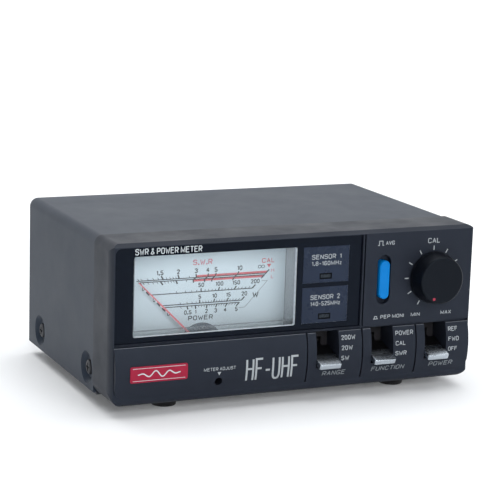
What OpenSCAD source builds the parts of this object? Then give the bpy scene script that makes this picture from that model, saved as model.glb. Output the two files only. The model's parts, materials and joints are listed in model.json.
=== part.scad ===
// Cross-band SWR and power meter: cased moving-coil meter with two sensors.
// Units are millimetres. Parts are laid out from the case's front left bottom corner
// (x to the right, y to the rear, z up) and then moved so that the origin is under the middle.

/* [Case] */
// Width of the case
case_w = 155; // [154:0.5:157]
// Height of the case without its feet
case_h = 63; // [63:0.5:65]
// Depth of the case from front face to rear panel
case_d = 103; // [100:0.5:110]
// Depth of the front moulding
bezel_d = 20; // [20:0.1:20.2]
// Wall thickness of the front moulding
bezel_wall = 2.2; // [2:0.1:2.4]
// Thickness of the moulding's front wall
front_wall = 4; // [3.8:0.1:4]
// Sheet thickness of cover and tray
sheet = 1.2; // [1:0.1:1.2]
// How far the cover lies inside the moulding's outline
cover_inset = 0.4; // [0.3:0.05:0.5]
// Height of the rubber feet
foot_h = 4.3; // [4:0.1:6]
// Radius of a foot where it meets the case
foot_r = 5.7; // [5:0.1:7]
// Distance of the feet from the middle plane
foot_x = 50; // [48:0.5:54]

/* [Display] */
// Left edge of the display window
window_x0 = 1.3; // [1.2:0.1:1.5]
// Right edge of the display window
window_x1 = 104.4; // [104:0.1:104.4]
// Lower edge of the display window
window_z0 = 24.6; // [24.5:0.1:25]
// Upper edge of the display window
window_z1 = 61.4; // [61:0.1:61.4]
// Thickness of the display window
window_t = 1.75; // [1.5:0.05:1.75]
// Depth of the window's face behind the front face
window_y = 1; // [0.8:0.1:1]
// Width of the dial opening in the window
dial_open_w = 67.2; // [66:0.1:67.5]
// Height of the dial opening in the window
dial_open_h = 31; // [30:0.1:31.2]
// Left edge of the dial opening
dial_open_x = 9; // [8.8:0.1:9.2]
// Lower edge of the dial opening
dial_open_z = 26.8; // [26.8:0.1:27.2]

/* [Meter movement] */
// Sideways place of the pointer's pivot
pivot_x = 42.3; // [42:0.1:42.6]
// Height of the pointer's pivot
pivot_z = 18.1; // [18:0.1:18.4]
// Depth of the dial face behind the front face
dial_y = 14.5; // [14.5:0.1:14.6]
// Length of the pointer
pointer_len = 38.2; // [34:0.1:39]
// Half of the pointer's swing in degrees
pointer_half = 45; // [40:1:46]
// Radius of the core magnet
core_r = 6; // [5.8:0.1:6]
// Sideways place of the meter adjust screw
adjust_x = 43.6; // [43:0.1:44]
// Height of the meter adjust screw
adjust_z = 7.5; // [7.3:0.1:7.8]

/* [Controls] */
// Sideways place of the CAL knob
knob_x = 136.3; // [135:0.1:137]
// Height of the CAL knob
knob_z = 42.7; // [42:0.1:44]
// Radius of the knob at the panel
knob_r = 10.45; // [9.5:0.05:11]
// Reach of the knob in front of the panel
knob_reach = 8.1; // [7.5:0.1:9]
// Radius of the potentiometer's shaft
shaft_r = 3; // [3:0.05:3]
// Sideways place of the PEP button
button_x = 114.15; // [113.5:0.05:115]
// Height of the PEP button
button_z = 42.9; // [42:0.1:44]
// Width of the PEP button
button_w = 4.5; // [4:0.1:4.8]
// Height of the PEP button
button_h = 15.4; // [14:0.1:15.6]
// Travel of the PEP button
button_travel = 3; // [2:0.1:3]
// Middle of the first lever slot
lever_x0 = 89.95; // [89.5:0.05:90.2]
// Spacing of the lever slots
lever_pitch = 24.2; // [24:0.05:24.3]
// Width of a lever slot
lever_slot_w = 9.8; // [9.6:0.1:10]
// Width of a lever's blade
lever_w = 9.3; // [9:0.1:9.3]
// Thickness of a lever's blade
lever_t = 1.65; // [1.4:0.05:1.8]
// Depth of the lever pivots behind the front face
lever_y = 12.8; // [12.6:0.1:13]
// Height of the lever pivots
lever_z = 16.7; // [16.5:0.1:17]
// Distance from a lever's pivot to its tip
lever_reach = 18.6; // [18:0.1:19]
// Angle of a lever below the horizontal in its lowest position
lever_low = 20; // [18:1:20]

/* [Lower strip] */
// Lower edge of the convex strip
strip_z0 = 3.5; // [3.4:0.1:3.6]
// Upper edge of the convex strip
strip_z1 = 23.5; // [23.3:0.1:23.5]
// Swell of the strip in front of the front face
strip_swell = 1.75; // [1.2:0.05:2]

/* [Rear] */
// Height of the coaxial sockets
socket_z = 33; // [31:0.5:34]
// Radius of the socket's 5/8 inch thread
socket_r = 7.94; // [7.94:0.01:7.94]
// Length of the socket's thread in front of its flange
socket_len = 10.4; // [10:0.1:12]
// Width of the square socket flange
flange_w = 25.4; // [25:0.1:25.4]
// Thickness of the socket flange
flange_t = 1.6; // [1.5:0.1:1.8]
// Spacing of the flange's screws
flange_pitch = 18.3; // [18:0.1:18.5]
// Radius of the bore in the socket's centre contact
contact_r = 2; // [1.98:0.01:2.02]

/* [Hidden] */
$fn = 64;

// Overshoot of cutting shapes past the faces they cut
eps = 1;
// Radial running clearance of small shafts
run_gap = 0.05;
// Corner radii of the front outline
top_corner_r = 3.3;
bottom_corner_r = 6;
// Radius and reach of the moulding's rounded side edges
side_round_r = 10.6;
side_round_y = 4.5;
// Radius under the moulding's lower front edge, and the bevel above its face
under_round_r = 2.9;
bevel_z = 61.7 + case_h - 63;
bevel_y = 2;
cavity_corner_r = 2;
lip_t = 1;
lip_reach = 3;
cover_corner_r = 3.5;

// Front face to the rearmost point of the sockets, and the middle of it all
rear_y = case_d + flange_t + socket_len;
mid_y = (rear_y - knob_reach) / 2;

// Strip profile: an arc through both strip edges
strip_h = strip_z1 - strip_z0;
strip_r = (strip_h * strip_h / 4 + strip_swell * strip_swell) / (2 * strip_swell);
strip_mid_z = (strip_z0 + strip_z1) / 2;
strip_x0 = 1.3;
strip_corner_r = 4.8;
strip_gap = 1;
groove_w = 0.65;
groove_d = 0.9;
slot_z0 = 9.3;

// Sensor labels: left edge, width, height, and the lower edge of each
label_x = 79;
label_w = 19.8;
label_h = 14.3;
label_t = 0.3;
label_z = [43.2, 27.1];
led_x = 88.85;
led_w = 5.2;
led_h = 2.2;
led_dz = 2.5;
led_z = [label_z[0] + led_dz, label_z[1] + led_dz];

// Meter box behind the window
meter_x0 = 5.2;
meter_x1 = 79.4;
meter_z0 = 4.2;
meter_z1 = 60.2;
meter_wall = 1.5;
cover_y0 = front_wall + 0.2;
ledge_z = 26.8;
ledge_t = 1.4;
ledge_y = 10.8;
case_back_y = dial_y + 4.8;
case_floor_y = dial_y + 2.8;
can_r = 14;
can_bore_r = 12.7;
can_y1 = 36;
magnet_y0 = 21.5;
magnet_y1 = 31.5;
yoke_bore_r = 8.4;
coil_y0 = 20;
coil_y1 = 33;
coil_in_r = 6.5;
coil_out_r = 7.6;
coil_t = 2.2;
staff_r = 0.55;
bridge_y = 7.6;
bridge_t = 1.6;
jewel_r = 1.2;
bridge_post_x = 12.5;
pointer_y = 12;
pointer_t = 0.4;
arm_y = 6.4;
arm_t = 0.7;

// Meter adjust screw: its eccentric pin moves the fork of the zero arm
pin_throw = 0.9;
pin_r = 0.6;
adjust_dist = sqrt(pow(adjust_x - pivot_x, 2) + pow(pivot_z - adjust_z, 2));
adjust_angle = atan2(adjust_x - pivot_x, pivot_z - adjust_z);
fork_dist = adjust_dist - pin_throw;
collar_r = 2.6;
cap_r = 9;

// Control panel
panel_x0 = 105.65;
panel_top = 61.5;
board_y = 20.5;
board_t = 1.6;
button_slot_w = 6;
button_slot_h = 20;
button_recess = 2.2;
button_face_y = -1.5;
button_back_y = 6;
button_gap = 0.3;
stem_w = 4;
pot_y = front_wall + 0.2;
bushing_r = 3.5;
nut_af = 10;
knob_base_y = -0.8;
knob_face_r = knob_r - 1.05;
housing_w = 12.6;
housing_y0 = 9.5;
housing_z0 = 6.5;
housing_z1 = 27;
housing_wall = 1;
lever_pin_r = 1;
lever_hub_r = 2.1;
lever_neck_w = 3.6;
neck_swing = 2.4;
blade_start = 5;

// Cover dimples
dimple_r = 6.5;
dimple_floor_r = 4.6;
dimple_depth = 2;
dimple_y = [28.5, case_d - 15];
dimple_z = 9;
screw_r = 1.5;
screw_hole_r = 1.6;

// Rear sockets and boxes
socket_x = [26, 56, 92, 122];
box_x = [[12, 70], [78, 136]];
box_y0 = 78;
box_y1 = case_d - sheet - 0.1;
box_z0 = 19;
box_z1 = 47;
box_wall = 1;
insulator_r = 4.4;
socket_bore_r = 6.1;
jack_x = 144;
jack_z = 14;
jack_bore_r = 2.85;
jack_pin_r = 1.05;

// Main board
board_x0 = 12;
board_x1 = 134;
board_y0 = 42;
board_y1 = 98;
main_board_z = 8;
standoff_r = 3;
feet_y = [15, case_d - 15];

// Moves a part from the case's corner to the part's own origin
module place() translate([-case_w / 2, -mid_y, foot_h]) children();

// Box between two opposite corners
module block(a, b) translate(a) cube(b - a);

// Round bar along y
module rod_y(x, z, y0, y1, r) translate([x, y0, z]) rotate([-90, 0, 0]) cylinder(r = r, h = y1 - y0);

// Round bar along x
module rod_x(y, z, x0, x1, r) translate([x0, y, z]) rotate([0, 90, 0]) cylinder(r = r, h = x1 - x0);

// Round bar along z
module rod_z(x, y, z0, z1, r) translate([x, y, z0]) cylinder(r = r, h = z1 - z0);

// Outline in x and z, extruded from y0 to y1
module slab_y(y0, y1) translate([0, y1, 0]) rotate([90, 0, 0]) linear_extrude(y1 - y0) children();

// Outline in y and z, extruded from x0 to x1
module slab_x(x0, x1) translate([x0, 0, 0]) rotate([90, 0, 90]) linear_extrude(x1 - x0) children();

// What is cut away to round one corner; turn says which corner of the shape it is
module corner_cut(x, y, r, turn) translate([x, y]) rotate(turn) difference() {
    translate([-eps, -eps]) square(r + eps);
    translate([r, r]) circle(r);
}

// Centred rectangle with round corners
module round_rect(w, h, r) {
    square([w - 2 * r, h], center = true);
    square([w, h - 2 * r], center = true);
    for (sx = [-1, 1], sz = [-1, 1]) translate([sx * (w / 2 - r), sz * (h / 2 - r)]) circle(r);
}

// Upright slot with round ends
module obround(w, h) {
    square([w, h - w], center = true);
    for (s = [-1, 1]) translate([0, s * (h - w) / 2]) circle(w / 2);
}

// The case's front outline, drawn in by inset
module front_outline(inset, r_top, r_bottom) difference() {
    translate([inset, inset]) square([case_w - 2 * inset, case_h - 2 * inset]);
    corner_cut(inset, inset, r_bottom, 0);
    corner_cut(case_w - inset, inset, r_bottom, 90);
    corner_cut(case_w - inset, case_h - inset, r_top, 180);
    corner_cut(inset, case_h - inset, r_top, 270);
}

// Outline of the display window, drawn in by inset
module window_outline(inset) {
    x0 = window_x0 + inset;
    z1 = window_z1 - inset;
    difference() {
        translate([x0, window_z0 + inset])
            square([window_x1 - window_x0 - 2 * inset, window_z1 - window_z0 - 2 * inset]);
        corner_cut(x0, z1, 2.5 - inset, 270);
    }
}

// Profile of the convex strip in y and z, drawn in by inset
module strip_profile(inset) intersection() {
    translate([-strip_swell - eps, strip_z0]) square([strip_swell + 2 * eps, strip_h]);
    translate([strip_r - strip_swell, strip_mid_z]) circle(strip_r - inset, $fn = 256);
}

// --- Front moulding ---------------------------------------------------------------

module bezel_outside() intersection() {
    slab_y(0, bezel_d) front_outline(0, top_corner_r, bottom_corner_r);
    slab_x(-eps, case_w + eps) difference() {
        square([bezel_d, case_h]);
        polygon([
            [-bevel_y, 2 * bevel_z - case_h], [2 * bevel_y, 2 * case_h - bevel_z],
            [-bevel_y, 2 * case_h - bevel_z]
        ]);
        corner_cut(0, 0, under_round_r, 0);
    }
    linear_extrude(case_h) difference() {
        square([case_w, bezel_d]);
        for (side = [0, 1]) translate([side * case_w, 0]) mirror([side, 0]) difference() {
            translate([-eps, -eps]) square([eps + 1.2, side_round_y + eps]);
            translate([side_round_r, side_round_y]) circle(side_round_r, $fn = 128);
        }
    }
}

// The swelled strip, with its lower corners rounded like the case's
module convex_strip() intersection() {
    slab_x(0, case_w) strip_profile(0);
    slab_y(-3, 1) difference() {
        translate([strip_x0, strip_z0 - 0.3]) square([case_w - 2 * strip_x0, strip_h + 1]);
        corner_cut(strip_x0, strip_z0 - 0.3, strip_corner_r, 0);
        corner_cut(case_w - strip_x0, strip_z0 - 0.3, strip_corner_r, 90);
    }
}

// Everything that opens the front wall
module bezel_openings() {
    slab_y(-eps, window_y + window_t + run_gap) window_outline(0);
    block([7, 0, 25.7], [78.4, front_wall + eps, 59.3]);
    for (z = led_z) block([led_x - 3.4, 0, z - 1.9], [led_x + 3.4, front_wall + eps, z + 1.9]);
    block([panel_x0 - groove_w, -eps, strip_z1 + strip_gap], [panel_x0, 1, panel_top]);
    block([strip_x0, -2 * eps, strip_z1 - 0.1], [case_w - strip_x0, 1, strip_z1 + strip_gap]);
    for (i = [0:2]) {
        groove_x = lever_x0 + i * lever_pitch - 8.95;
        slab_x(groove_x - groove_w / 2, groove_x + groove_w / 2) difference() {
            translate([-3, strip_z0 + 0.2]) square([4, strip_h - 0.1]);
            translate([strip_r - strip_swell, strip_mid_z]) circle(strip_r - groove_d, $fn = 256);
        }
        slot_x = lever_x0 + i * lever_pitch;
        block([slot_x - lever_slot_w / 2, -3, slot_z0],
              [slot_x + lever_slot_w / 2, front_wall + eps, strip_z1 + 0.1]);
    }
    slab_y(-eps, button_recess) translate([button_x, button_z]) obround(button_slot_w, button_slot_h);
    slab_y(0, front_wall + eps) translate([button_x, button_z])
        obround(button_w + 2 * button_gap, button_h + 2 * button_gap);
    rod_y(knob_x, knob_z, -eps, front_wall + eps, bushing_r + 0.1);
    rod_y(adjust_x, adjust_z, -3, front_wall + eps, 1.6);
}

module front_bezel() color([0.2, 0.215, 0.245]) place() {
    difference() {
        union() {
            bezel_outside();
            convex_strip();
        }
        slab_y(front_wall, bezel_d + eps)
            front_outline(bezel_wall, cavity_corner_r, cavity_corner_r);
        bezel_openings();
        for (s = [-1, 1]) rod_z(case_w / 2 + s * foot_x, feet_y[0], -eps, 3, screw_hole_r);
    }
    // Lip that the cover slides over, notched beside the front dimples
    difference() {
        intersection() {
            slab_y(bezel_d - lip_reach, bezel_d + lip_reach) difference() {
                front_outline(cover_inset + sheet + 0.1, cover_corner_r - sheet, 1.5);
                front_outline(cover_inset + sheet + 0.1 + lip_t, 1, 1);
            }
            block([0, 0, 5], [case_w, bezel_d + lip_reach + eps, case_h]);
        }
        at_dimples() translate([0, 0, -eps]) cylinder(r = dimple_r + 1.2, h = 5);
    }
}

// --- Display ----------------------------------------------------------------------

module display_window() color([0.11, 0.12, 0.15]) place() difference() {
    slab_y(window_y, window_y + window_t) window_outline(run_gap);
    translate([dial_open_x + dial_open_w / 2, 0, dial_open_z + dial_open_h / 2])
        slab_y(0, front_wall) round_rect(dial_open_w, dial_open_h, 0.8);
    for (i = [0:1]) {
        block([label_x - run_gap, 0, label_z[i] - run_gap],
              [label_x + label_w + run_gap, window_y + label_t, label_z[i] + label_h + run_gap]);
        led_hole(i, 0, front_wall);
    }
}

module led_hole(i, y0, y1)
    block([led_x - led_w / 2 - run_gap, y0, led_z[i] - led_h / 2 - run_gap],
          [led_x + led_w / 2 + run_gap, y1, led_z[i] + led_h / 2 + run_gap]);

module sensor_label(i) color([0.18, 0.22, 0.28]) place() difference() {
    block([label_x, window_y - run_gap, label_z[i]],
          [label_x + label_w, window_y + label_t, label_z[i] + label_h]);
    led_hole(i, 0, front_wall);
}
module sensor_label_1() sensor_label(0);
module sensor_label_2() sensor_label(1);

module led(i) color([0.3, 0.31, 0.35]) place() {
    block([led_x - led_w / 2, window_y + 0.1, led_z[i] - led_h / 2],
          [led_x + led_w / 2, 8, led_z[i] + led_h / 2]);
    for (s = [-1, 1]) block([led_x + s * 1.27 - 0.25, 8, led_z[i] - 0.25],
                            [led_x + s * 1.27 + 0.25, board_y, led_z[i] + 0.25]);
}
module led_1() led(0);
module led_2() led(1);

// --- Meter movement ---------------------------------------------------------------

// The ledge inside is the sill that shows along the dial's lower edge
module meter_cover() color([0.8, 0.85, 0.9, 0.35]) place() difference() {
    union() {
        difference() {
            block([meter_x0, cover_y0, meter_z0], [meter_x1, dial_y - 0.1, meter_z1]);
            block([meter_x0 + meter_wall, cover_y0 + meter_wall, meter_z0 + meter_wall],
                  [meter_x1 - meter_wall, dial_y + eps, meter_z1 - meter_wall]);
        }
        block([meter_x0 + meter_wall - 0.1, cover_y0 + meter_wall - 0.1, ledge_z - ledge_t],
              [meter_x1 - meter_wall + 0.1, ledge_y, ledge_z]);
    }
    rod_y(adjust_x, adjust_z, front_wall - eps, 7, 2);
    // Pocket that clears the adjusting screw's collar
    rod_y(adjust_x, adjust_z, cover_y0 + meter_wall - 0.1, 7, collar_r + 0.2);
}

module meter_case() color([0.1, 0.1, 0.11]) place() difference() {
    union() {
        difference() {
            block([meter_x0, dial_y, meter_z0], [meter_x1, case_back_y, meter_z1]);
            block([meter_x0 + meter_wall, dial_y - eps, meter_z0 + meter_wall],
                  [meter_x1 - meter_wall, case_floor_y, meter_z1 - meter_wall]);
        }
        for (sx = [-1, 1], z = [27, 53]) rod_y(pivot_x + sx * 29, z, dial_y + 0.6, case_back_y, 2);
        rod_y(pivot_x, pivot_z, case_floor_y, can_y1, can_r);
    }
    rod_y(pivot_x, pivot_z, case_back_y, can_y1 + eps, can_bore_r);
    rod_y(pivot_x, pivot_z, dial_y, case_back_y + eps, 3);
}

// The dial hangs from its upper part; a notch clears the movement
module dial_plate() color([0.8, 0.85, 0.88]) place() difference() {
    block([meter_x0 + 1.6, dial_y, pivot_z + 3.4], [meter_x1 - 1.6, dial_y + 0.6, meter_z1 - 1.6]);
    rod_y(pivot_x, pivot_z, dial_y - eps, dial_y + 2, 8);
}

module movement_cap() color([0.25, 0.29, 0.33]) place() difference() {
    rod_y(pivot_x, pivot_z, dial_y - 1.2, dial_y, cap_r);
    rod_y(pivot_x, pivot_z, dial_y - 2, dial_y + eps, 2);
}

module core_magnet() color([0.35, 0.36, 0.38]) place()
    rod_y(pivot_x, pivot_z, magnet_y0, magnet_y1, core_r);

module core_spacers() color([0.75, 0.6, 0.3]) place() intersection() {
    difference() {
        rod_y(pivot_x, pivot_z, 25, 28, yoke_bore_r - 0.02);
        rod_y(pivot_x, pivot_z, 24, 29, core_r + 0.02);
    }
    block([pivot_x - 1.5, 20, pivot_z - 10], [pivot_x + 1.5, 33, pivot_z + 10]);
}

module yoke_ring() color([0.5, 0.51, 0.53]) place() difference() {
    rod_y(pivot_x, pivot_z, magnet_y0, magnet_y1, can_bore_r - 0.1);
    rod_y(pivot_x, pivot_z, magnet_y0 - eps, magnet_y1 + eps, yoke_bore_r);
}

module front_bridge() color([0.75, 0.62, 0.35]) place() {
    difference() {
        block([pivot_x - 14, bridge_y, pivot_z - 2.5], [pivot_x + 14, bridge_y + bridge_t, pivot_z + 2.5]);
        rod_y(pivot_x, pivot_z, bridge_y - eps, bridge_y + 2 * eps, jewel_r + 0.02);
    }
    for (s = [-1, 1]) rod_y(pivot_x + s * bridge_post_x, pivot_z, bridge_y + bridge_t - 0.2, case_floor_y, screw_r);
}

module rear_bridge() color([0.75, 0.62, 0.35]) place() difference() {
    intersection() {
        block([pivot_x - 13, can_y1 - 1.6, pivot_z - 3], [pivot_x + 13, can_y1, pivot_z + 3]);
        rod_y(pivot_x, pivot_z, can_y1 - 2, can_y1 + eps, can_bore_r - 0.1);
    }
    rod_y(pivot_x, pivot_z, can_y1 - 3, can_y1 + eps, jewel_r + 0.02);
}

// Screws with a cup in the inner end, in which the staff runs
module jewel_screws() color([0.85, 0.7, 0.35]) place() {
    difference() {
        rod_y(pivot_x, pivot_z, cover_y0 + meter_wall + 0.2, bridge_y + bridge_t + eps, jewel_r);
        rod_y(pivot_x, pivot_z, bridge_y + bridge_t, bridge_y + 4, staff_r + run_gap);
    }
    difference() {
        rod_y(pivot_x, pivot_z, coil_y1 + 0.4, can_y1 + eps, jewel_r);
        rod_y(pivot_x, pivot_z, coil_y1, coil_y1 + 1.4, staff_r + run_gap);
    }
}

module meter_terminals() color([0.8, 0.7, 0.4]) place()
    for (s = [-1, 1]) translate([pivot_x + s * 22, 0, 40]) {
        rod_y(0, 0, case_back_y, case_back_y + 8, screw_r);
        translate([0, case_back_y + 2, 0]) rotate([-90, 0, 0]) cylinder(r = 3.2, h = 2.4, $fn = 6);
    }

// Light strip beside the clear cover
module lamp_board() color([0.2, 0.45, 0.3]) place() {
    block([2.4, 5, 30], [3.2, 14, 55]);
    for (z = [33, 41, 49]) block([3.2, 7, z], [4.6, 10, z + 3]);
}

// Parts on the needle's axis are drawn at mid scale and turned to the zero end
module at_pivot() translate([pivot_x, 0, pivot_z]) rotate([0, -pointer_half, 0]) children();

module pointer() color([0.85, 0.3, 0.3]) place() at_pivot() difference() {
    union() {
        rod_y(0, 0, pointer_y - 0.8, pointer_y + 0.6, 1.8);
        slab_y(pointer_y - pointer_t / 2, pointer_y + pointer_t / 2)
            polygon([[-0.45, 0], [0.45, 0], [0.2, pointer_len], [-0.2, pointer_len]]);
        slab_y(pointer_y - pointer_t / 2, pointer_y + pointer_t / 2)
            translate([-0.4, -7]) square([0.8, 7]);
        rod_y(0, -6.4, pointer_y - 0.8, pointer_y + 0.7, 1.1);
    }
    rod_y(0, 0, 0, 20, staff_r + 0.01);
}

module moving_coil() color([0.75, 0.4, 0.2]) place() at_pivot() difference() {
    block([-coil_out_r, coil_y0, -coil_t / 2], [coil_out_r, coil_y1, coil_t / 2]);
    block([-coil_in_r, coil_y0 + 1, -coil_t], [coil_in_r, coil_y1 - 1, coil_t]);
}

module pivot_staff() color([0.7, 0.72, 0.75]) place() at_pivot() {
    rod_y(0, 0, bridge_y + bridge_t + 0.2, coil_y0, staff_r);
    rod_y(0, 0, coil_y1, coil_y1 + 1.2, staff_r);
}

// Flat spiral on a collet
spring_turns = 3.5;
spring_r0 = 1.3;
spring_r1 = 4.9;
spring_steps = 84;
function spring_point(i, side) =
    let (a = 360 * spring_turns * i / spring_steps,
         r = spring_r0 + (spring_r1 - spring_r0) * i / spring_steps + side)
    [r * sin(a), r * cos(a)];
module hairspring() color([0.8, 0.65, 0.35]) place() at_pivot() {
    difference() {
        rod_y(0, 0, 10.3, 11.1, spring_r0 + 0.1);
        rod_y(0, 0, 10, 12, staff_r + 0.01);
    }
    slab_y(10.4, 11) polygon([
        for (i = [0:spring_steps]) spring_point(i, 0.1),
        for (i = [spring_steps:-1:0]) spring_point(i, -0.1)
    ]);
}

module zero_screw() color([0.8, 0.7, 0.4]) place() {
    difference() {
        rod_y(adjust_x, adjust_z, cover_y0 + 0.1, 6, 1.9);
        block([adjust_x - 2.5, 4, adjust_z - 0.3], [adjust_x + 2.5, 5, adjust_z + 0.3]);
    }
    rod_y(adjust_x, adjust_z, cover_y0 + meter_wall + 0.1, 6.2, collar_r);
    rod_y(adjust_x - pin_throw * sin(adjust_angle), adjust_z + pin_throw * cos(adjust_angle), 6.1, 7.5, pin_r);
}

module zero_arm() color([0.75, 0.76, 0.78]) place()
    translate([pivot_x, 0, pivot_z]) rotate([0, -adjust_angle, 0]) difference() {
        union() {
            rod_y(0, 0, arm_y, arm_y + arm_t, 2.8);
            block([-1.2, arm_y, -9], [1.2, arm_y + arm_t, 0]);
            block([-2.2, arm_y, -11.4], [2.2, arm_y + arm_t, -7.6]);
            block([-1, arm_y, -6.2], [1, 11, -5.4]);
        }
        rod_y(0, 0, arm_y - eps, arm_y + 2, jewel_r + 0.1);
        block([-pin_r - 0.1, arm_y - eps, -13], [pin_r + 0.1, arm_y + 1.4, -8.4]);
    }

// --- Controls ---------------------------------------------------------------------

module pep_button() color([0.05, 0.5, 0.82]) place() {
    slab_y(button_face_y, button_back_y) translate([button_x, button_z]) obround(button_w, button_h);
    block([button_x - stem_w / 2, button_back_y - 0.1, button_z - stem_w / 2],
          [button_x + stem_w / 2, 16, button_z + stem_w / 2]);
}

module pep_switch() color([0.75, 0.75, 0.72]) place() difference() {
    block([button_x - 5.2, 10, button_z - 7], [button_x + 5.2, board_y, button_z + 7]);
    block([button_x - stem_w / 2 - 0.3, 9, button_z - stem_w / 2 - 0.3],
          [button_x + stem_w / 2 + 0.3, board_y - 0.8, button_z + stem_w / 2 + 0.3]);
}

module cal_pot() color([0.6, 0.6, 0.62]) place() {
    difference() {
        union() {
            rod_y(knob_x, knob_z, pot_y, 14, 8.2);
            rod_y(knob_x, knob_z, -2.4, pot_y + 0.2, bushing_r);
        }
        rod_y(knob_x, knob_z, -4, 13, shaft_r + run_gap);
    }
    for (s = [-1:1]) block([knob_x + s * 4 - 0.5, 13.8, knob_z - 6], [knob_x + s * 4 + 0.5, board_y, knob_z - 5.4]);
}

// Hexagon nut and washer that hold the potentiometer in the front wall
module pot_nut() color([0.75, 0.76, 0.78]) place() difference() {
    union() {
        translate([knob_x, -2.2, knob_z]) rotate([-90, 0, 0]) cylinder(r = nut_af / sqrt(3), h = 1.8, $fn = 6);
        rod_y(knob_x, knob_z, -0.45, 0, 5.6);
    }
    rod_y(knob_x, knob_z, -4, eps, bushing_r + 0.02);
}

module pot_shaft() color([0.8, 0.81, 0.83]) place() rod_y(knob_x, knob_z, -7, 12.6, shaft_r);

// The knob is hollow behind, over the nut, with a hub round the shaft
module cal_knob() color([0.1, 0.105, 0.125]) place() translate([knob_x, 0, knob_z]) rotate([90, 0, 0])
    rotate_extrude($fn = 128) polygon(concat(
        [[shaft_r + 0.02, 2.9], [7.4, 2.9], [7.4, -knob_base_y], [knob_r, -knob_base_y], [knob_r, 2.2]],
        [[knob_face_r + 0.15, knob_reach - 0.9]],
        [for (a = [30:30:90]) [knob_face_r - 0.65 + 0.8 * cos(a), knob_reach - 0.8 + 0.8 * sin(a)]],
        [[0, knob_reach], [0, 7.1], [shaft_r + 0.02, 7.1]]
    ));

function lever_x(i) = lever_x0 + i * lever_pitch;

module lever(i) color([0.8, 0.82, 0.85]) place()
    translate([lever_x(i), lever_y, lever_z]) rotate([lever_low, 0, 0]) difference() {
        union() {
            linear_extrude(lever_t, center = true) difference() {
                translate([-lever_w / 2, -lever_reach]) square([lever_w, lever_reach - blade_start]);
                corner_cut(-lever_w / 2, -lever_reach, 0.8, 0);
                corner_cut(lever_w / 2, -lever_reach, 0.8, 90);
            }
            block([-lever_neck_w / 2, -blade_start - 0.2, -lever_t / 2], [lever_neck_w / 2, 0, lever_t / 2]);
            rod_x(0, 0, -4.5, 4.5, lever_hub_r);
            block([-1.5, 0, -1], [1.5, 5.5, 1]);
        }
        rod_x(0, 0, -5, 5, lever_pin_r + run_gap);
    }
module range_lever() lever(0);
module function_lever() lever(1);
module power_lever() lever(2);

module lever_pins() color([0.7, 0.71, 0.73]) place()
    for (i = [0:2]) rod_x(lever_y, lever_z, lever_x(i) - housing_w / 2, lever_x(i) + housing_w / 2, lever_pin_r);

module lever_switch(i) color([0.16, 0.17, 0.19]) place() difference() {
    block([lever_x(i) - housing_w / 2, housing_y0, housing_z0], [lever_x(i) + housing_w / 2, board_y, housing_z1]);
    block([lever_x(i) - housing_w / 2 + housing_wall, housing_y0 + housing_wall, housing_z0 + housing_wall],
          [lever_x(i) + housing_w / 2 - housing_wall, board_y - housing_wall, housing_z1 - housing_wall]);
    block([lever_x(i) - lever_neck_w / 2 - 0.3, housing_y0 - eps, lever_z - neck_swing],
          [lever_x(i) + lever_neck_w / 2 + 0.3, housing_y0 + 2, lever_z + neck_swing]);
    rod_x(lever_y, lever_z, lever_x(i) - housing_w, lever_x(i) + housing_w, lever_pin_r + 0.02);
}
module range_switch() lever_switch(0);
module function_switch() lever_switch(1);
module power_switch() lever_switch(2);

// --- Boards -----------------------------------------------------------------------

module switch_board() color([0.15, 0.4, 0.28]) place()
    block([82, board_y, 5.5], [151, board_y + board_t, 59]);

module main_board() color([0.15, 0.4, 0.28]) place() difference() {
    block([board_x0, board_y0, main_board_z], [board_x1, board_y1, main_board_z + board_t]);
    at_standoffs() rod_z(0, 0, 0, 20, screw_hole_r);
}

module at_standoffs()
    for (x = [board_x0 + 5, board_x1 - 5], y = [board_y0 + 5, board_y1 - 5]) translate([x, y, 0]) children();

module board_standoffs() color([0.8, 0.7, 0.4]) place() at_standoffs() difference() {
    rod_z(0, 0, sheet, main_board_z, standoff_r);
    rod_z(0, 0, 3, main_board_z + eps, screw_r + run_gap);
}

module board_screws() color([0.75, 0.76, 0.78]) place() at_standoffs() {
    rod_z(0, 0, 3.5, main_board_z + board_t, screw_r);
    rod_z(0, 0, main_board_z + board_t, main_board_z + board_t + 1.8, 2.8);
}

// Chips, capacitors, trimmers and connectors
module board_parts() color([0.12, 0.12, 0.14]) place() {
    z = main_board_z + board_t;
    for (x = [30, 52, 96]) block([x, 60, z], [x + 10, 66, z + 3]);
    for (x = [26, 38, 70, 86, 112]) rod_z(x, 84, z, z + 7, 2.6);
    for (x = [62, 74, 86, 98]) block([x, 46, z], [x + 6, 52, z + 4.5]);
    block([110, 44, z], [124, 50, z + 6]);
    block([100, board_y + board_t, 8], [114, board_y + board_t + 5, 14]);
    block([88, board_y + board_t, 40], [98, board_y + board_t + 3, 46]);
}

module ribbon_cable() color([0.6, 0.61, 0.63]) place() slab_x(111, 113.6) polygon([
    [board_y + board_t + 5, 10.5], [30, 10.5], [38, 14.5], [44, 14.5], [44, 15.5], [37.7, 15.5],
    [29.7, 11.5], [board_y + board_t + 5, 11.5]
]);

// --- Rear -------------------------------------------------------------------------

module at_flange_screws(i)
    for (sx = [-1, 1], sz = [-1, 1])
        translate([socket_x[i] + sx * flange_pitch / 2, 0, socket_z + sz * flange_pitch / 2]) children();

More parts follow.
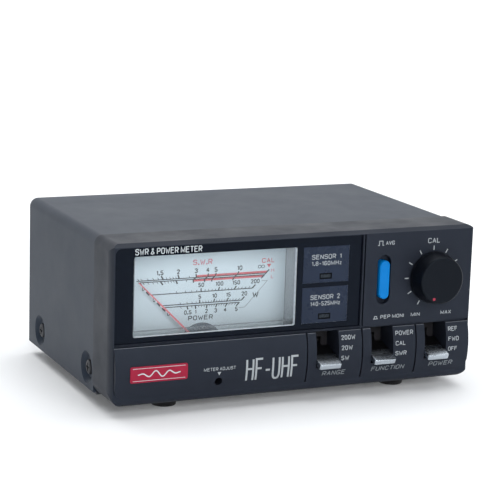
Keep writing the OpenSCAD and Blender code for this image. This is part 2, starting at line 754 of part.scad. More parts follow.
module sensor_box(i) color([0.75, 0.76, 0.78]) place() {
    x0 = box_x[i][0];
    x1 = box_x[i][1];
    difference() {
        block([x0, box_y0, box_z0], [x1, box_y1, box_z1]);
        block([x0 + box_wall, box_y0 + box_wall, box_z0 + box_wall], [x1 - box_wall, box_y1 - box_wall, box_z1 + eps]);
        for (j = [2 * i, 2 * i + 1]) {
            rod_y(socket_x[j], socket_z, box_y1 - 2, box_y1 + eps, insulator_r + 0.2);
            at_flange_screws(j) rod_y(0, 0, box_y1 - 2, box_y1 + eps, screw_hole_r);
        }
    }
}
module sensor_box_1() sensor_box(0);
module sensor_box_2() sensor_box(1);

module sensor_lids() color([0.78, 0.79, 0.8]) place()
    for (b = box_x) block([b[0] - 0.4, box_y0 - 0.4, box_z1], [b[1] + 0.4, box_y1, box_z1 + 0.8]);

// Through line of each sensor with a pick-up strip beside it
module coupler_lines() color([0.8, 0.55, 0.35]) place() for (i = [0, 2]) {
    block([socket_x[i] - 3, 88, socket_z - 2], [socket_x[i + 1] + 3, 89.5, socket_z + 2]);
    block([socket_x[i] + 4, 84.5, socket_z - 1], [socket_x[i + 1] - 4, 85.3, socket_z + 1]);
}

module coax_shell(i) color([0.75, 0.76, 0.77]) place() difference() {
    union() {
        slab_y(case_d, case_d + flange_t) translate([socket_x[i], socket_z]) round_rect(flange_w, flange_w, 1);
        rod_y(socket_x[i], socket_z, case_d + flange_t - 0.4, rear_y, socket_r);
    }
    rod_y(socket_x[i], socket_z, case_d + flange_t + 1, rear_y + eps, socket_bore_r);
    rod_y(socket_x[i], socket_z, case_d - eps, case_d + flange_t + 2, insulator_r + run_gap);
    at_flange_screws(i) rod_y(0, 0, case_d - eps, case_d + flange_t + eps, screw_hole_r);
}
module coax_shell_1() coax_shell(0);
module coax_shell_2() coax_shell(1);
module coax_shell_3() coax_shell(2);
module coax_shell_4() coax_shell(3);

module coax_insulators() color([0.92, 0.92, 0.9]) place() for (x = socket_x) difference() {
    rod_y(x, socket_z, box_y1 - 1.5, rear_y - 1.4, insulator_r);
    rod_y(x, socket_z, case_d, rear_y, contact_r + 0.65);
    rod_y(x, socket_z, box_y1 - 3, rear_y, 1.3);
}

module coax_contacts() color([0.85, 0.75, 0.45]) place() for (x = socket_x) difference() {
    union() {
        rod_y(x, socket_z, case_d + 0.1, rear_y - 1.6, contact_r + 0.6);
        rod_y(x, socket_z, 89.5, case_d + 0.3, 1.2);
    }
    rod_y(x, socket_z, case_d + 1.2, rear_y, contact_r);
}

module coax_screws() color([0.75, 0.76, 0.77]) place() for (i = [0:3]) at_flange_screws(i) {
    rod_y(0, 0, case_d - 4, case_d + flange_t + 0.1, screw_r);
    rod_y(0, 0, case_d + flange_t, case_d + flange_t + 1.7, 2.75);
}

module dc_jack() color([0.09, 0.09, 0.1]) place() {
    difference() {
        union() {
            rod_y(jack_x, jack_z, case_d, case_d + 1.5, 6.4);
            rod_y(jack_x, jack_z, case_d - 12, case_d + 0.2, 5.2);
        }
        rod_y(jack_x, jack_z, case_d - 8, case_d + 2, jack_bore_r);
    }
    rod_y(jack_x, jack_z, case_d - 8.2, case_d + 0.6, jack_pin_r);
}

// --- Cover and tray ---------------------------------------------------------------

// Dished recess round a screw hole; revolved about the screw
module dimple_cup() rotate_extrude() polygon([
    [screw_hole_r, dimple_depth], [dimple_floor_r, dimple_depth], [dimple_r, 0], [dimple_r + 1, 0],
    [dimple_r + 1, sheet], [dimple_r + 0.4, sheet], [dimple_floor_r + 0.6, dimple_depth + sheet],
    [screw_hole_r, dimple_depth + sheet]
]);

// Places something at each dimple with z pointing into the case
module at_dimples() for (y = dimple_y) {
    translate([cover_inset, y, dimple_z]) rotate([0, 90, 0]) children();
    translate([case_w - cover_inset, y, dimple_z]) rotate([0, -90, 0]) children();
}

module top_cover() color([0.33, 0.355, 0.39]) place() {
    difference() {
        slab_y(bezel_d + 0.2, case_d) difference() {
            front_outline(cover_inset, cover_corner_r, 0.3);
            front_outline(cover_inset + sheet, cover_corner_r - sheet, 0.3);
            translate([cover_inset + sheet, -eps]) square([case_w - 2 * (cover_inset + sheet), 5]);
            translate([-eps, -eps]) square([case_w + 2 * eps, 1 + eps]);
        }
        at_dimples() translate([0, 0, -eps]) cylinder(r = dimple_r + 0.9, h = 4);
    }
    at_dimples() dimple_cup();
}

module cover_screws() color([0.08, 0.08, 0.09]) place() at_dimples() {
    translate([0, 0, dimple_depth - 1.5]) cylinder(r = 3, h = 1.5);
    translate([0, 0, dimple_depth - 0.1]) cylinder(r = screw_r, h = 5);
}

tray_inset = cover_inset + sheet + 0.15;
flange_in = cover_inset + dimple_depth + sheet + 0.2;

module chassis_tray() color([0.2, 0.21, 0.23]) place() difference() {
    union() {
        block([tray_inset, bezel_d + 0.4, 0], [case_w - tray_inset, case_d, sheet]);
        block([6, bezel_d + 0.4, 0], [case_w - 6, bezel_d + 1.6, 3.6]);
        block([6, 6, 2.4], [case_w - 6, bezel_d + 1.6, 3.6]);
        slab_y(case_d - sheet, case_d) intersection() {
            front_outline(tray_inset, 2.4, 0.2);
            translate([0, 0]) square([case_w, case_h]);
        }
        block([tray_inset, case_d - sheet, 0], [case_w - tray_inset, case_d, 4]);
        for (x = [flange_in, case_w - flange_in - sheet]) block([x, bezel_d + 4, 0.5], [x + sheet, case_d - 1, 16]);
    }
    for (i = [0:3]) {
        rod_y(socket_x[i], socket_z, case_d - 3, case_d + eps, insulator_r + 0.2);
        at_flange_screws(i) rod_y(0, 0, case_d - 3, case_d + eps, screw_hole_r);
    }
    rod_y(jack_x, jack_z, case_d - 3, case_d + eps, 5.3);
    at_dimples() cylinder(r = screw_hole_r, h = 10);
    for (s = [-1, 1], y = feet_y) rod_z(case_w / 2 + s * foot_x, y, -eps, 5, screw_hole_r);
}

module at_feet() for (s = [-1, 1], y = feet_y) translate([case_w / 2 + s * foot_x, y, 0]) children();

module feet() color([0.06, 0.06, 0.065]) place() at_feet() rotate_extrude() polygon([
    [1.7, 0], [foot_r, 0], [foot_r - 0.9, -foot_h], [3.2, -foot_h], [3.2, -foot_h + 2], [1.7, -foot_h + 2]
]);

module foot_screws() color([0.7, 0.71, 0.73]) place() at_feet() {
    rod_z(0, 0, -foot_h + 2, 3.6, screw_r);
    rod_z(0, 0, -foot_h + 0.6, -foot_h + 2, 2.8);
}

front_bezel();
display_window();
sensor_label_1();
sensor_label_2();
led_1();
led_2();
meter_cover();
meter_case();
dial_plate();
movement_cap();
core_magnet();
core_spacers();
yoke_ring();
front_bridge();
rear_bridge();
jewel_screws();
meter_terminals();
lamp_board();
pep_switch();
cal_pot();
pot_nut();
range_switch();
function_switch();
power_switch();
lever_pins();
switch_board();
main_board();
board_parts();
board_standoffs();
board_screws();
ribbon_cable();
sensor_box_1();
sensor_box_2();
sensor_lids();
coupler_lines();
coax_shell_1();
coax_shell_2();
coax_shell_3();
coax_shell_4();
coax_insulators();
coax_contacts();
coax_screws();
dc_jack();
top_cover();
chassis_tray();
feet();
foot_screws();
cover_screws();
pointer();
moving_coil();
pivot_staff();
hairspring();
zero_screw();
zero_arm();
pep_button();
cal_knob();
pot_shaft();
range_lever();
function_lever();
power_lever();
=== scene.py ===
import json
import math

import bmesh
import bpy
from mathutils import Matrix, Vector

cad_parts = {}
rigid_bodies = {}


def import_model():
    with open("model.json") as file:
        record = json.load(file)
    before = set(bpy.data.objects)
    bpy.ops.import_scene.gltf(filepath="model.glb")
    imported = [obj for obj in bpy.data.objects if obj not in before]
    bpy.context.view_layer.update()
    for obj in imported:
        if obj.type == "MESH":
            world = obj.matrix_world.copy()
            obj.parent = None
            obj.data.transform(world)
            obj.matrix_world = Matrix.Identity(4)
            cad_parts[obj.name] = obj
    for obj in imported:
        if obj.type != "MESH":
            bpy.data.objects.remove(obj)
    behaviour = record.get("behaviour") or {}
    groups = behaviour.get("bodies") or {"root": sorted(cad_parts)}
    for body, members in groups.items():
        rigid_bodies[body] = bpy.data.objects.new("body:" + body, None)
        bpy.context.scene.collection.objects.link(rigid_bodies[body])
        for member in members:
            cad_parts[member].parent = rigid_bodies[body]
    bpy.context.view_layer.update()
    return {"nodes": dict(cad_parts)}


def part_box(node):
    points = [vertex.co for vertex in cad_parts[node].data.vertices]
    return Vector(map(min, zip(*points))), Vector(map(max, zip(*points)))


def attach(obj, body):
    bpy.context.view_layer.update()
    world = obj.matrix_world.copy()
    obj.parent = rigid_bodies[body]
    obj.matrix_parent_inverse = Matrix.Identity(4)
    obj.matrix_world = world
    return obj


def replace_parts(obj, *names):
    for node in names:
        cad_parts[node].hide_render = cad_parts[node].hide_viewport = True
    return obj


for leftover in list(bpy.data.objects):
    bpy.data.objects.remove(leftover)

scene = bpy.context.scene
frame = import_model()

# --- Places and sizes, in millimetres from the case's lower left front corner ---

MM = 0.001
corner = Vector((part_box("front_bezel")[0].x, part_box("pot_nut")[1].y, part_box("front_bezel")[0].z))


def at(x, y, z):
    """A point of the case frame, in the row frame's metres."""
    return corner + MM * Vector((x, y, z))


def span(node):
    """Lowest and highest corner of a CAD node, in the case frame."""
    low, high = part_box(node)
    return (low - corner) / MM, (high - corner) / MM


def centre(node):
    """Middle of a CAD node, in the case frame."""
    low, high = span(node)
    return (low + high) / 2


bezel_low, bezel_high = span("front_bezel")
case_width = bezel_high.x
label_places = [span(f"sensor_label_{n}")[0] for n in (1, 2)]
knob_middle = centre("cal_knob")
adjust_x = centre("zero_screw").x
lever_x = [centre(n).x for n in ("range_lever", "function_lever", "power_lever")]
pivot_x, pivot_z = centre("movement_cap").x, centre("movement_cap").z
sockets = [centre(f"coax_shell_{n}") for n in (1, 2, 3, 4)]
flange_thick = 1.6
flange_face = span("coax_shell_1")[0].y + flange_thick

strip_low, strip_top = 3.5, 23.5
strip_swell = -bezel_low.y
strip_middle = (strip_low + strip_top) / 2
strip_radius = ((strip_top - strip_low) ** 2 / 4 + strip_swell**2) / (2 * strip_swell)


def flat(y):
    """A surface function: the upright plane at y."""
    return lambda x, z: y


def face_of(node):
    """A surface function: the front of a CAD node."""
    return flat(span(node)[0].y)


def strip_surface(x, z):
    """The lower strip's swelled face."""
    rise = min(abs(z - strip_middle), strip_radius)
    return strip_radius - strip_swell - math.sqrt(strip_radius**2 - rise**2)


# --- Materials ---


def linear(colour):
    """An sRGB colour of 0-255 values, as linear RGBA."""
    return [(c / 255 / 12.92) if c <= 10 else ((c / 255 + 0.055) / 1.055) ** 2.4 for c in colour] + [1.0]


def shaded(colour, factor):
    """The linear colour, made lighter or darker."""
    return [min(1.0, c * factor) for c in colour[:3]] + [1.0]


class Finish:
    """A Principled material, with helpers for the nodes that vary it over a part."""

    def __init__(self, name, colour, roughness, metallic=0.0, specular=0.5, **fixed):
        self.material = bpy.data.materials.new(name)
        self.material.use_nodes = True
        self.tree = self.material.node_tree
        self.shader = self.tree.nodes["Principled BSDF"]
        self.colour = linear(colour)
        self.set("Base Color", self.colour)
        self.set("Roughness", roughness)
        self.set("Metallic", metallic)
        self.set("Specular IOR Level", specular)
        for key, value in fixed.items():
            self.set(key.replace("_", " "), value)
        self.normal = None

    def set(self, socket, value):
        self.shader.inputs[socket].default_value = value

    def node(self, kind, inputs=None, **settings):
        made = self.tree.nodes.new(kind)
        for key, value in settings.items():
            setattr(made, key, value)
        for key, value in (inputs or {}).items():
            made.inputs[key].default_value = value
        return made

    def link(self, source, target):
        self.tree.links.new(source, target)

    def place(self, stretch=(1, 1, 1)):
        """Coordinates in metres on the part, stretched for brushed or streaked patterns."""
        coords = self.node("ShaderNodeTexCoord")
        mapping = self.node("ShaderNodeMapping", {"Scale": stretch})
        self.link(coords.outputs["Object"], mapping.inputs["Vector"])
        return mapping.outputs["Vector"]

    def noise(self, size, detail=3.0, rough=0.55, stretch=(1, 1, 1)):
        """Noise whose features are about size millimetres across."""
        settings = {"Scale": 1 / (size * MM), "Detail": detail, "Roughness": rough}
        made = self.node("ShaderNodeTexNoise", settings)
        self.link(self.place(stretch), made.inputs["Vector"])
        return made.outputs[0]

    def spread(self, factor, low, high, start=0.3, end=0.7):
        """The factor, mapped from start-end to low-high."""
        ends = {"From Min": start, "From Max": end, "To Min": low, "To Max": high}
        made = self.node("ShaderNodeMapRange", ends)
        self.link(factor, made.inputs["Value"])
        return made.outputs["Result"]

    def times(self, first, second):
        made = self.node("ShaderNodeMath", operation="MULTIPLY")
        self.link(first, made.inputs[0])
        self.link(second, made.inputs[1])
        return made.outputs[0]

    def blend(self, factor, first, second):
        """A colour between first and second. Each is a colour or another node's output."""
        made = self.node("ShaderNodeMix", data_type="RGBA")
        self.link(factor, made.inputs[0])
        for value, socket in ((first, made.inputs[6]), (second, made.inputs[7])):
            if isinstance(value, bpy.types.NodeSocket):
                self.link(value, socket)
            else:
                socket.default_value = value
        return made.outputs[2]

    def paint(self, result):
        self.link(result, self.shader.inputs["Base Color"])
        return result

    def gloss(self, size, low, high, **noise):
        """Roughness that drifts from low to high over about size millimetres."""
        drift = self.spread(self.noise(size, **noise), low, high)
        self.link(drift, self.shader.inputs["Roughness"])

    def mottle(self, size, amount):
        """Base colour that drifts by amount either way."""
        drift = self.spread(self.noise(size), 0, 1)
        return self.paint(self.blend(drift, shaded(self.colour, 1 - amount), shaded(self.colour, 1 + amount)))

    def relief(self, size, depth, **noise):
        """Adds bumps about size millimetres across and depth millimetres high."""
        height = self.noise(size, **noise)
        made = self.node("ShaderNodeBump", {"Strength": 1.0, "Distance": depth * MM})
        self.link(height, made.inputs["Height"])
        if self.normal:
            self.link(self.normal, made.inputs["Normal"])
        self.normal = made.outputs["Normal"]
        self.link(self.normal, self.shader.inputs["Normal"])

    def edges(self, radius):
        """1 on outer and inner edges narrower than radius millimetres, 0 elsewhere."""
        rounded = self.node("ShaderNodeBevel", {"Radius": radius * MM}, samples=6)
        plain = self.node("ShaderNodeNewGeometry")
        match = self.node("ShaderNodeVectorMath", operation="DOT_PRODUCT")
        self.link(rounded.outputs["Normal"], match.inputs[0])
        self.link(plain.outputs["Normal"], match.inputs[1])
        return self.spread(match.outputs["Value"], 1, 0, start=0.86, end=0.985)

    def facing(self, axis):
        """1 on faces square to the X, Y or Z axis, 0 on faces along it."""
        plain = self.node("ShaderNodeNewGeometry")
        split = self.node("ShaderNodeSeparateXYZ")
        self.link(plain.outputs["True Normal"], split.inputs[0])
        size = self.node("ShaderNodeMath", operation="ABSOLUTE")
        self.link(split.outputs[axis], size.inputs[0])
        return size.outputs[0]


COOL = (0.7, 0.84, 1.0, 1.0)


def moulded(name, colour, rough_low, rough_high, grain=0.35, depth=0.004, wear=0.0, **fixed):
    """Spark-eroded moulded plastic: a fine grain, handling marks in the gloss, rubbed edges."""
    made = Finish(name, colour, (rough_low + rough_high) / 2, **fixed)
    base = made.mottle(9, 0.06)
    made.gloss(14, rough_low, rough_high, detail=5)
    made.relief(grain, depth, detail=2)
    made.relief(18, depth * 2, detail=1)
    if wear:
        rubbed = made.times(made.edges(0.35), made.spread(made.noise(3.5), 0, wear, start=0.4))
        made.paint(made.blend(rubbed, base, shaded(made.colour, 3.2)))
    return made.material


def sprayed(name, colour, rough_low, rough_high, wear=0.0, **fixed):
    """Baked enamel on sheet steel: orange peel, fine specks, faint hand marks, chipped edges."""
    made = Finish(name, colour, (rough_low + rough_high) / 2, **fixed)
    base = made.mottle(24, 0.035)
    speck = made.spread(made.noise(0.28, detail=1), 0, 0.5, start=0.62, end=0.74)
    base = made.paint(made.blend(speck, base, shaded(made.colour, 1.35)))
    made.gloss(22, rough_low, rough_high, detail=6, rough=0.65)
    made.relief(0.45, 0.006, detail=2)
    made.relief(2.6, 0.008, detail=2)
    if wear:
        rubbed = made.times(made.edges(0.4), made.spread(made.noise(5), 0, wear, start=0.45))
        made.paint(made.blend(rubbed, base, shaded(made.colour, 2.0)))
    return made.material


def plated(name, colour, rough_low, rough_high, stretch=(1, 1, 1), scratch=0.0015, tarnish=0.12, **fixed):
    """Bare or plated metal: drifting tarnish, fine scratches along one direction."""
    made = Finish(name, colour, (rough_low + rough_high) / 2, metallic=1.0, **fixed)
    base = made.mottle(6, 0.05)
    stain = made.spread(made.noise(3.2, detail=5), 0, tarnish, start=0.5, end=0.8)
    made.paint(made.blend(stain, base, shaded(made.colour, 0.45)))
    made.gloss(1.8, rough_low, rough_high, detail=4, stretch=stretch)
    made.relief(0.5, scratch, detail=4, stretch=stretch)
    return made.material


def printed_ink(name, colour, rough=0.5, **fixed):
    """Screen-printed ink: a slightly uneven film."""
    made = Finish(name, colour, rough, **fixed)
    made.mottle(0.9, 0.07)
    made.gloss(2.5, rough - 0.08, rough + 0.1)
    made.relief(0.12, 0.002, detail=1)
    return made.material


def acrylic_sheet():
    """Clear acrylic printed dark on its back: deep gloss, with a painted highlight on the cut edges where
    light catches them.
    """
    made = Finish("acrylic_dark", (8, 12, 22), 0.08, specular=0.12, Specular_Tint=COOL)
    base = made.mottle(30, 0.08)
    # Faces that don't look forward, the cut edges, get a pale painted highlight standing for light caught in
    # the edge.
    cut = made.spread(made.facing("Y"), 0.92, 0, start=0.35, end=0.7)
    lit = made.blend(made.spread(made.noise(1.2), 0, 1), linear((205, 214, 222)), linear((240, 245, 250)))
    made.paint(made.blend(cut, base, lit))
    made.gloss(11, 0.05, 0.16, detail=6, rough=0.7)
    made.relief(16, 0.004, detail=1)
    return made.material


def clear_styrene():
    """Clear moulded styrene: faces are seen through; side walls, and shelves less so, are partly opaque and
    pale, a painted reflection of light in clear walls seen at a slant.
    """
    face, side_wall, shelf = 0.05, 0.62, 0.22
    made = Finish("clear_styrene", (222, 230, 236), 0.07, specular=0.9)
    made.mottle(8, 0.03)
    made.gloss(9, 0.03, 0.09, detail=4)
    # Painted reflection: walls and shelves are made partly opaque and pale where clear plastic seen at a
    # slant would show reflected light.
    painted_wall_sheen = made.node("ShaderNodeMath", operation="MAXIMUM")
    for number, (axis, alpha) in enumerate((("X", side_wall), ("Z", shelf))):
        made.link(made.spread(made.facing(axis), face, alpha, start=0.3, end=0.8), painted_wall_sheen.inputs[number])
    made.link(painted_wall_sheen.outputs[0], made.shader.inputs["Alpha"])
    return made.material


def dial_enamel():
    """The dial's matt cool-white enamel."""
    made = Finish("dial_enamel", (194, 210, 218), 0.55, specular=0.3)
    made.mottle(26, 0.03)
    made.gloss(7, 0.45, 0.62, detail=4)
    made.relief(0.22, 0.0015, detail=2)
    return made.material


def label_film():
    """A slate blue film behind the window, with a fine vertical weave."""
    made = Finish("label_film", (26, 37, 56), 0.3, specular=0.2)
    made.mottle(12, 0.08)
    made.gloss(6, 0.22, 0.36)
    made.relief(0.2, 0.0004, detail=1, stretch=(1, 1, 0.2))
    return made.material


def smoked_lens():
    """A status lamp's smoked lens, unlit."""
    made = Finish("smoked_lens", (30, 38, 46), 0.3, specular=0.2)
    made.mottle(2, 0.12)
    made.gloss(2.2, 0.22, 0.36)
    made.relief(0.7, 0.002, detail=1)
    return made.material


def rubber(name, colour):
    made = Finish(name, colour, 0.8, specular=0.3, Sheen_Weight=0.15)
    made.mottle(2.5, 0.12)
    made.gloss(1.5, 0.68, 0.92, detail=4)
    made.relief(0.3, 0.02, detail=4, rough=0.7)
    return made.material


def circuit_board():
    """Green solder mask over faint copper runs."""
    made = Finish("solder_mask", (28, 84, 58), 0.35)
    base = made.mottle(14, 0.06)
    runs = made.node("ShaderNodeTexVoronoi", {"Scale": 1 / (4.5 * MM)}, feature="DISTANCE_TO_EDGE")
    made.link(made.place(), runs.inputs["Vector"])
    track = made.spread(runs.outputs["Distance"], 0.6, 0, start=0.03, end=0.06)
    made.paint(made.blend(track, base, linear((46, 116, 78))))
    made.gloss(5, 0.28, 0.42)
    made.relief(0.6, 0.008)
    return made.material


BEZEL = moulded("bezel_mould", (30, 33, 42), 0.42, 0.56, wear=0.3, specular=0.2, Specular_Tint=COOL)
PALE_PRINT = printed_ink("pale_print", (156, 162, 166))
# A darker ink for the lever names: painted shade for the shadow of the levers above them.
NAME_SHADE_INK = printed_ink("painted_name_shade", (116, 122, 126))
DARK_PRINT = printed_ink("dark_print", (2, 3, 5), rough=0.6, specular=0.05)
# Grey ink that paints shade along the dial's bottom and left edges.
DIAL_SHADE_INK = printed_ink("painted_dial_shade", (122, 132, 140))
WHITE_PRINT = printed_ink("white_print", (190, 197, 201))
# Pale ink that paints the highlight along the strip's top edge.
EDGE_HIGHLIGHT_INK = printed_ink("painted_edge_highlight", (92, 97, 106))
BLACK_PRINT = printed_ink("black_print", (30, 38, 45))
RED_PRINT = printed_ink("red_print", (192, 82, 90))
PINK_PRINT = printed_ink("pink_print", (196, 98, 116))
LEVER_PLATING = plated("lever_plating", (178, 186, 194), 0.24, 0.29, stretch=(0.2, 1, 1),
                       scratch=0.0001, tarnish=0.0)
STEEL = plated("bright_steel_plate", (176, 178, 182), 0.2, 0.36)
BLACK_SCREW = moulded("black_oxide", (30, 32, 38), 0.42, 0.58, depth=0.002, specular=0.3)
BADGE = moulded("badge_enamel", (148, 22, 52), 0.3, 0.42, grain=0.8, depth=0.001, specular=0.2)
RED_DOT = printed_ink("knob_red", (150, 20, 52))

MATERIALS = {
    "bezel_plastic": BEZEL,
    "window_acrylic": acrylic_sheet(),
    "label_print": label_film(),
    "led_lens": smoked_lens(),
    "clear_plastic": clear_styrene(),
    "black_plastic": moulded("black_mould", (20, 21, 24), 0.4, 0.55, specular=0.35),
    "dial_paint": dial_enamel(),
    "cap_paint": sprayed("cap_enamel", (74, 86, 96), 0.45, 0.6),
    "magnet_steel": plated("magnet_alloy", (96, 98, 102), 0.35, 0.55),
    "soft_iron": plated("soft_iron_zinc", (146, 148, 150), 0.3, 0.5),
    "brass": plated("turned_brass", (196, 160, 92), 0.2, 0.36),
    "circuit_board": circuit_board(),
    "switch_plastic": moulded("switch_mould", (188, 188, 180), 0.4, 0.55),
    "housing_plastic": moulded("housing_mould", (40, 39, 42), 0.45, 0.6, specular=0.2),
    "bright_steel": STEEL,
    "ribbon": moulded("ribbon_sleeve", (150, 152, 156), 0.4, 0.55),
    "tinplate": plated("tinned_sheet", (188, 190, 192), 0.22, 0.4),
    "copper": plated("drawn_copper", (190, 112, 78), 0.2, 0.36),
    "nickel": plated("nickel_plate", (196, 194, 186), 0.16, 0.32, stretch=(1, 0.25, 1), scratch=0.0008,
                     tarnish=0.05),
    "white_insulator": moulded("fluoropolymer", (226, 224, 216), 0.35, 0.5),
    "contact_gold": plated("contact_gold", (212, 172, 92), 0.14, 0.28),
    "cover_paint": sprayed("cover_enamel", (42, 50, 62), 0.46, 0.53, wear=0.25, specular=0.19),
    "tray_paint": sprayed("tray_enamel", (44, 48, 56), 0.4, 0.55, wear=0.25),
    "foot_rubber": rubber("foot_rubber", (24, 24, 26)),
    "black_screw": BLACK_SCREW,
    "pointer_paint": sprayed("pointer_enamel", (206, 100, 110), 0.4, 0.55),
    "blue_plastic": moulded("blue_mould", (0, 114, 188), 0.3, 0.42, grain=0.5, depth=0.002, specular=0.12),
    "knob_plastic": moulded("knob_mould", (8, 10, 16), 0.3, 0.46, grain=0.25, depth=0.003, wear=0.1,
                            specular=0.14, Specular_Tint=COOL),
    # The lever bodies are plated; behind the caps they are painted near-black, a painted reflection of the
    # dark slot that the plating mirrors.
    "lever_chrome": moulded("lever_painted_dark", (12, 12, 14), 0.35, 0.5, specular=0.15),
}

for node in frame["nodes"].values():
    slot_name = node.data.materials[0].name.split(".")[0]
    node.material_slots[0].link = "OBJECT"
    node.material_slots[0].material = MATERIALS[slot_name]
frame["nodes"]["zero_screw"].material_slots[0].material = BLACK_SCREW


# --- Soft edges on the CAD parts ---

EDGE_RADII = {"front_bezel": 0.22, "display_window": 0.12, "chassis_tray": 0.15, "dc_jack": 0.25,
              "feet": 0.3, "pot_nut": 0.15, "sensor_label_1": 0.06, "sensor_label_2": 0.06,
              "led_1": 0.12, "led_2": 0.12}

for name, radius in EDGE_RADII.items():
    soften = frame["nodes"][name].modifiers.new("soft_edges", "BEVEL")
    soften.width = radius * MM
    soften.segments = 2
    soften.limit_method = "ANGLE"
    soften.angle_limit = math.radians(40)
    soften.harden_normals = True
    soften.use_clamp_overlap = True


# --- Printing ---

INK = 0.03  # thickness of a film
STRIP_STEP = 0.5  # height of the bands that bend a film to the strip

# Strokes of each character on a grid 9 units tall: x and y digits, strokes parted by commas.
# A stroke that starts with * is closed.
STROKES = {
    "A": "00 39, 60 39, 13 53", "C": "67 69 09 00 60 62",
    "D": "00 09, 09 69 60 00", "E": "69 09 00 60, 05 55", "F": "69 09 00, 05 55",
    "G": "67 69 09 00 60 64 34", "H": "00 09, 60 69, 05 65", "I": "00 09", "J": "59 50 00 02",
    "L": "09 00 50", "M": "00 09 41 89 80", "N": "00 09, 09 60, 60 69", "O": "*09 69 60 00",
    "P": "00 09, 09 69 64 04", "R": "00 09, 09 69 64 04, 34 60", "S": "67 69 09 05 65 60 00 02",
    "T": "09 69, 39 30", "U": "09 00 60 69", "V": "09 30, 30 69", "W": "09 20 46 60 89",
    "X": "00 69, 09 60", "z": "06 46, 46 00, 00 40",
    "0": "*09 59 50 00", "1": "07 29, 29 20", "2": "07 09 59 56 00, 00 50",
    "3": "07 09 59 55 25, 25 55 50 00 02", "4": "40 49, 49 03, 03 63",
    "5": "59 09, 09 05, 05 55 50 00 02", "6": "57 59 09 00 50 55 05", "8": "*09 59 55 05, *05 55 50 00",
    "&": "60 27 29 49 47 02 00 40 63", "-": "04 44", ".": "*00 10 11 01", " ": "",
}
ROUND = set("CDGJOPRSU023568&")
GRID_TALL, GAP, SPACE, ROUNDING = 9, 3.0, 3.5, 2.6


def eased(points, closed):
    """The same stroke with its corners rounded."""
    count, made = len(points), []
    for i, p in enumerate(points):
        if not closed and i in (0, count - 1):
            made.append(p)
            continue
        ends = []
        for j in (i - 1, (i + 1) % count):
            reach = points[j] - p
            share = 0.5 if closed or 0 < j < count - 1 else 0.9
            ends.append(p + reach.normalized() * min(ROUNDING, reach.length * share))
        start, end = ends
        for k in range(6):
            t = k / 5
            made.append(start * (1 - t) ** 2 + p * 2 * t * (1 - t) + end * t**2)
    return made


def strokes_of(text):
    """Every stroke of a word as (points, closed) in grid units, and the word's width."""
    strokes, x, width = [], 0.0, 0.0
    for letter in text:
        reach = 0.0
        for part in filter(None, (w.strip() for w in STROKES[letter].split(","))):
            closed = part.startswith("*")
            points = [Vector((int(c[0]), int(c[1]))) for c in part.strip("*").split()]
            reach = max([reach] + [q.x for q in points])
            if letter in ROUND:
                points = eased(points, closed)
            strokes.append(([Vector((q.x + x, q.y)) for q in points], closed))
        width = x + reach
        x += (reach + GAP) if letter != " " else SPACE
    return strokes, width


def oval(x, z, half_width, half_height, sides):
    """Points round an ellipse."""
    turns = [2 * math.pi * i / sides for i in range(sides)]
    return [(x + half_width * math.cos(t), z + half_height * math.sin(t)) for t in turns]


class Print:
    """Ink shapes of one colour, drawn in x and z millimetres, then laid on a surface."""

    def __init__(self):
        self.shapes = bmesh.new()

    def word(self, text, left, right, low, high, weight=0.16, slant=0.0):
        """A word that fills the box from left to right and low to high."""
        strokes, units = strokes_of(text)
        width = weight * (high - low)
        across = (right - left - width) / units
        up = (high - low - width) / GRID_TALL
        for points, closed in strokes:
            drawn = [Vector((left + width / 2 + q.x * across + slant * q.y * up, low + width / 2 + q.y * up))
                     for q in points]
            if len(drawn) == 2 and (drawn[0] - drawn[1]).length < width / 4:
                drawn[0] = drawn[0] + Vector((0, -width / 2))
                drawn[1] = drawn[1] + Vector((0, width / 2))
            self.band(drawn, width, closed)

    def centred(self, text, x, low, high, weight=0.16, spread=0.92):
        """A word of natural width, centred on x."""
        units = strokes_of(text)[1]
        half = (units * (1 - weight) * spread / GRID_TALL + weight) * (high - low) / 2
        self.word(text, x - half, x + half, low, high, weight)

    def band(self, points, width, closed=False):
        """A stroke of even width along the points, mitred at its turns."""
        count = len(points)
        last = count - 1
        edges = []
        for i, p in enumerate(points):
            ways = []
            if i > 0 or closed:
                ways.append((p - points[i - 1]).normalized())
            if i < last or closed:
                ways.append((points[(i + 1) % count] - p).normalized())
            along = sum(ways, Vector((0, 0))).normalized()
            across = Vector((-along.y, along.x)) * width / 2 / max(0.5, along.dot(ways[0]))
            edges.append([self.shapes.verts.new((q.x, 0, q.y)) for q in (p + across, p - across)])
        for i in range(count if closed else last):
            a, b = edges[i], edges[(i + 1) % count]
            self.shapes.faces.new((a[0], b[0], b[1], a[1]))

    def polygon(self, *points):
        self.shapes.faces.new([self.shapes.verts.new((x, 0, z)) for x, z in points])

    def line(self, start, end, width):
        """A straight bar from start to end."""
        a, b = Vector(start), Vector(end)
        side = Vector((a.y - b.y, b.x - a.x)).normalized() * width / 2
        self.polygon(a + side, b + side, b - side, a - side)

    def path(self, points, width, closed=False):
        self.band([Vector(q) for q in points], width, closed)

    def lay(self, name, surface, material, slot, body="case", film=INK, curved=False, rear=False):
        """The shapes as one thin closed film on the surface; rear is for a face that looks backwards."""
        ink = self.shapes
        if curved:
            level = strip_low
            while level < strip_top:
                everything = ink.verts[:] + ink.edges[:] + ink.faces[:]
                bmesh.ops.bisect_plane(ink, geom=everything, plane_co=(0, 0, level), plane_no=(0, 0, 1))
                level += STRIP_STEP
        backs = bmesh.ops.extrude_face_region(ink, geom=ink.faces[:], use_keep_orig=True)
        moved = {v for v in backs["geom"] if isinstance(v, bmesh.types.BMVert)}
        for v in ink.verts:
            x, z = (case_width - v.co.x if rear else v.co.x), v.co.z
            lift = film / 2 if v in moved else -film
            v.co = at(x, surface(x, z) + (-lift if rear else lift), z)
        piece(name, in_fixed_order(ink), material, body)


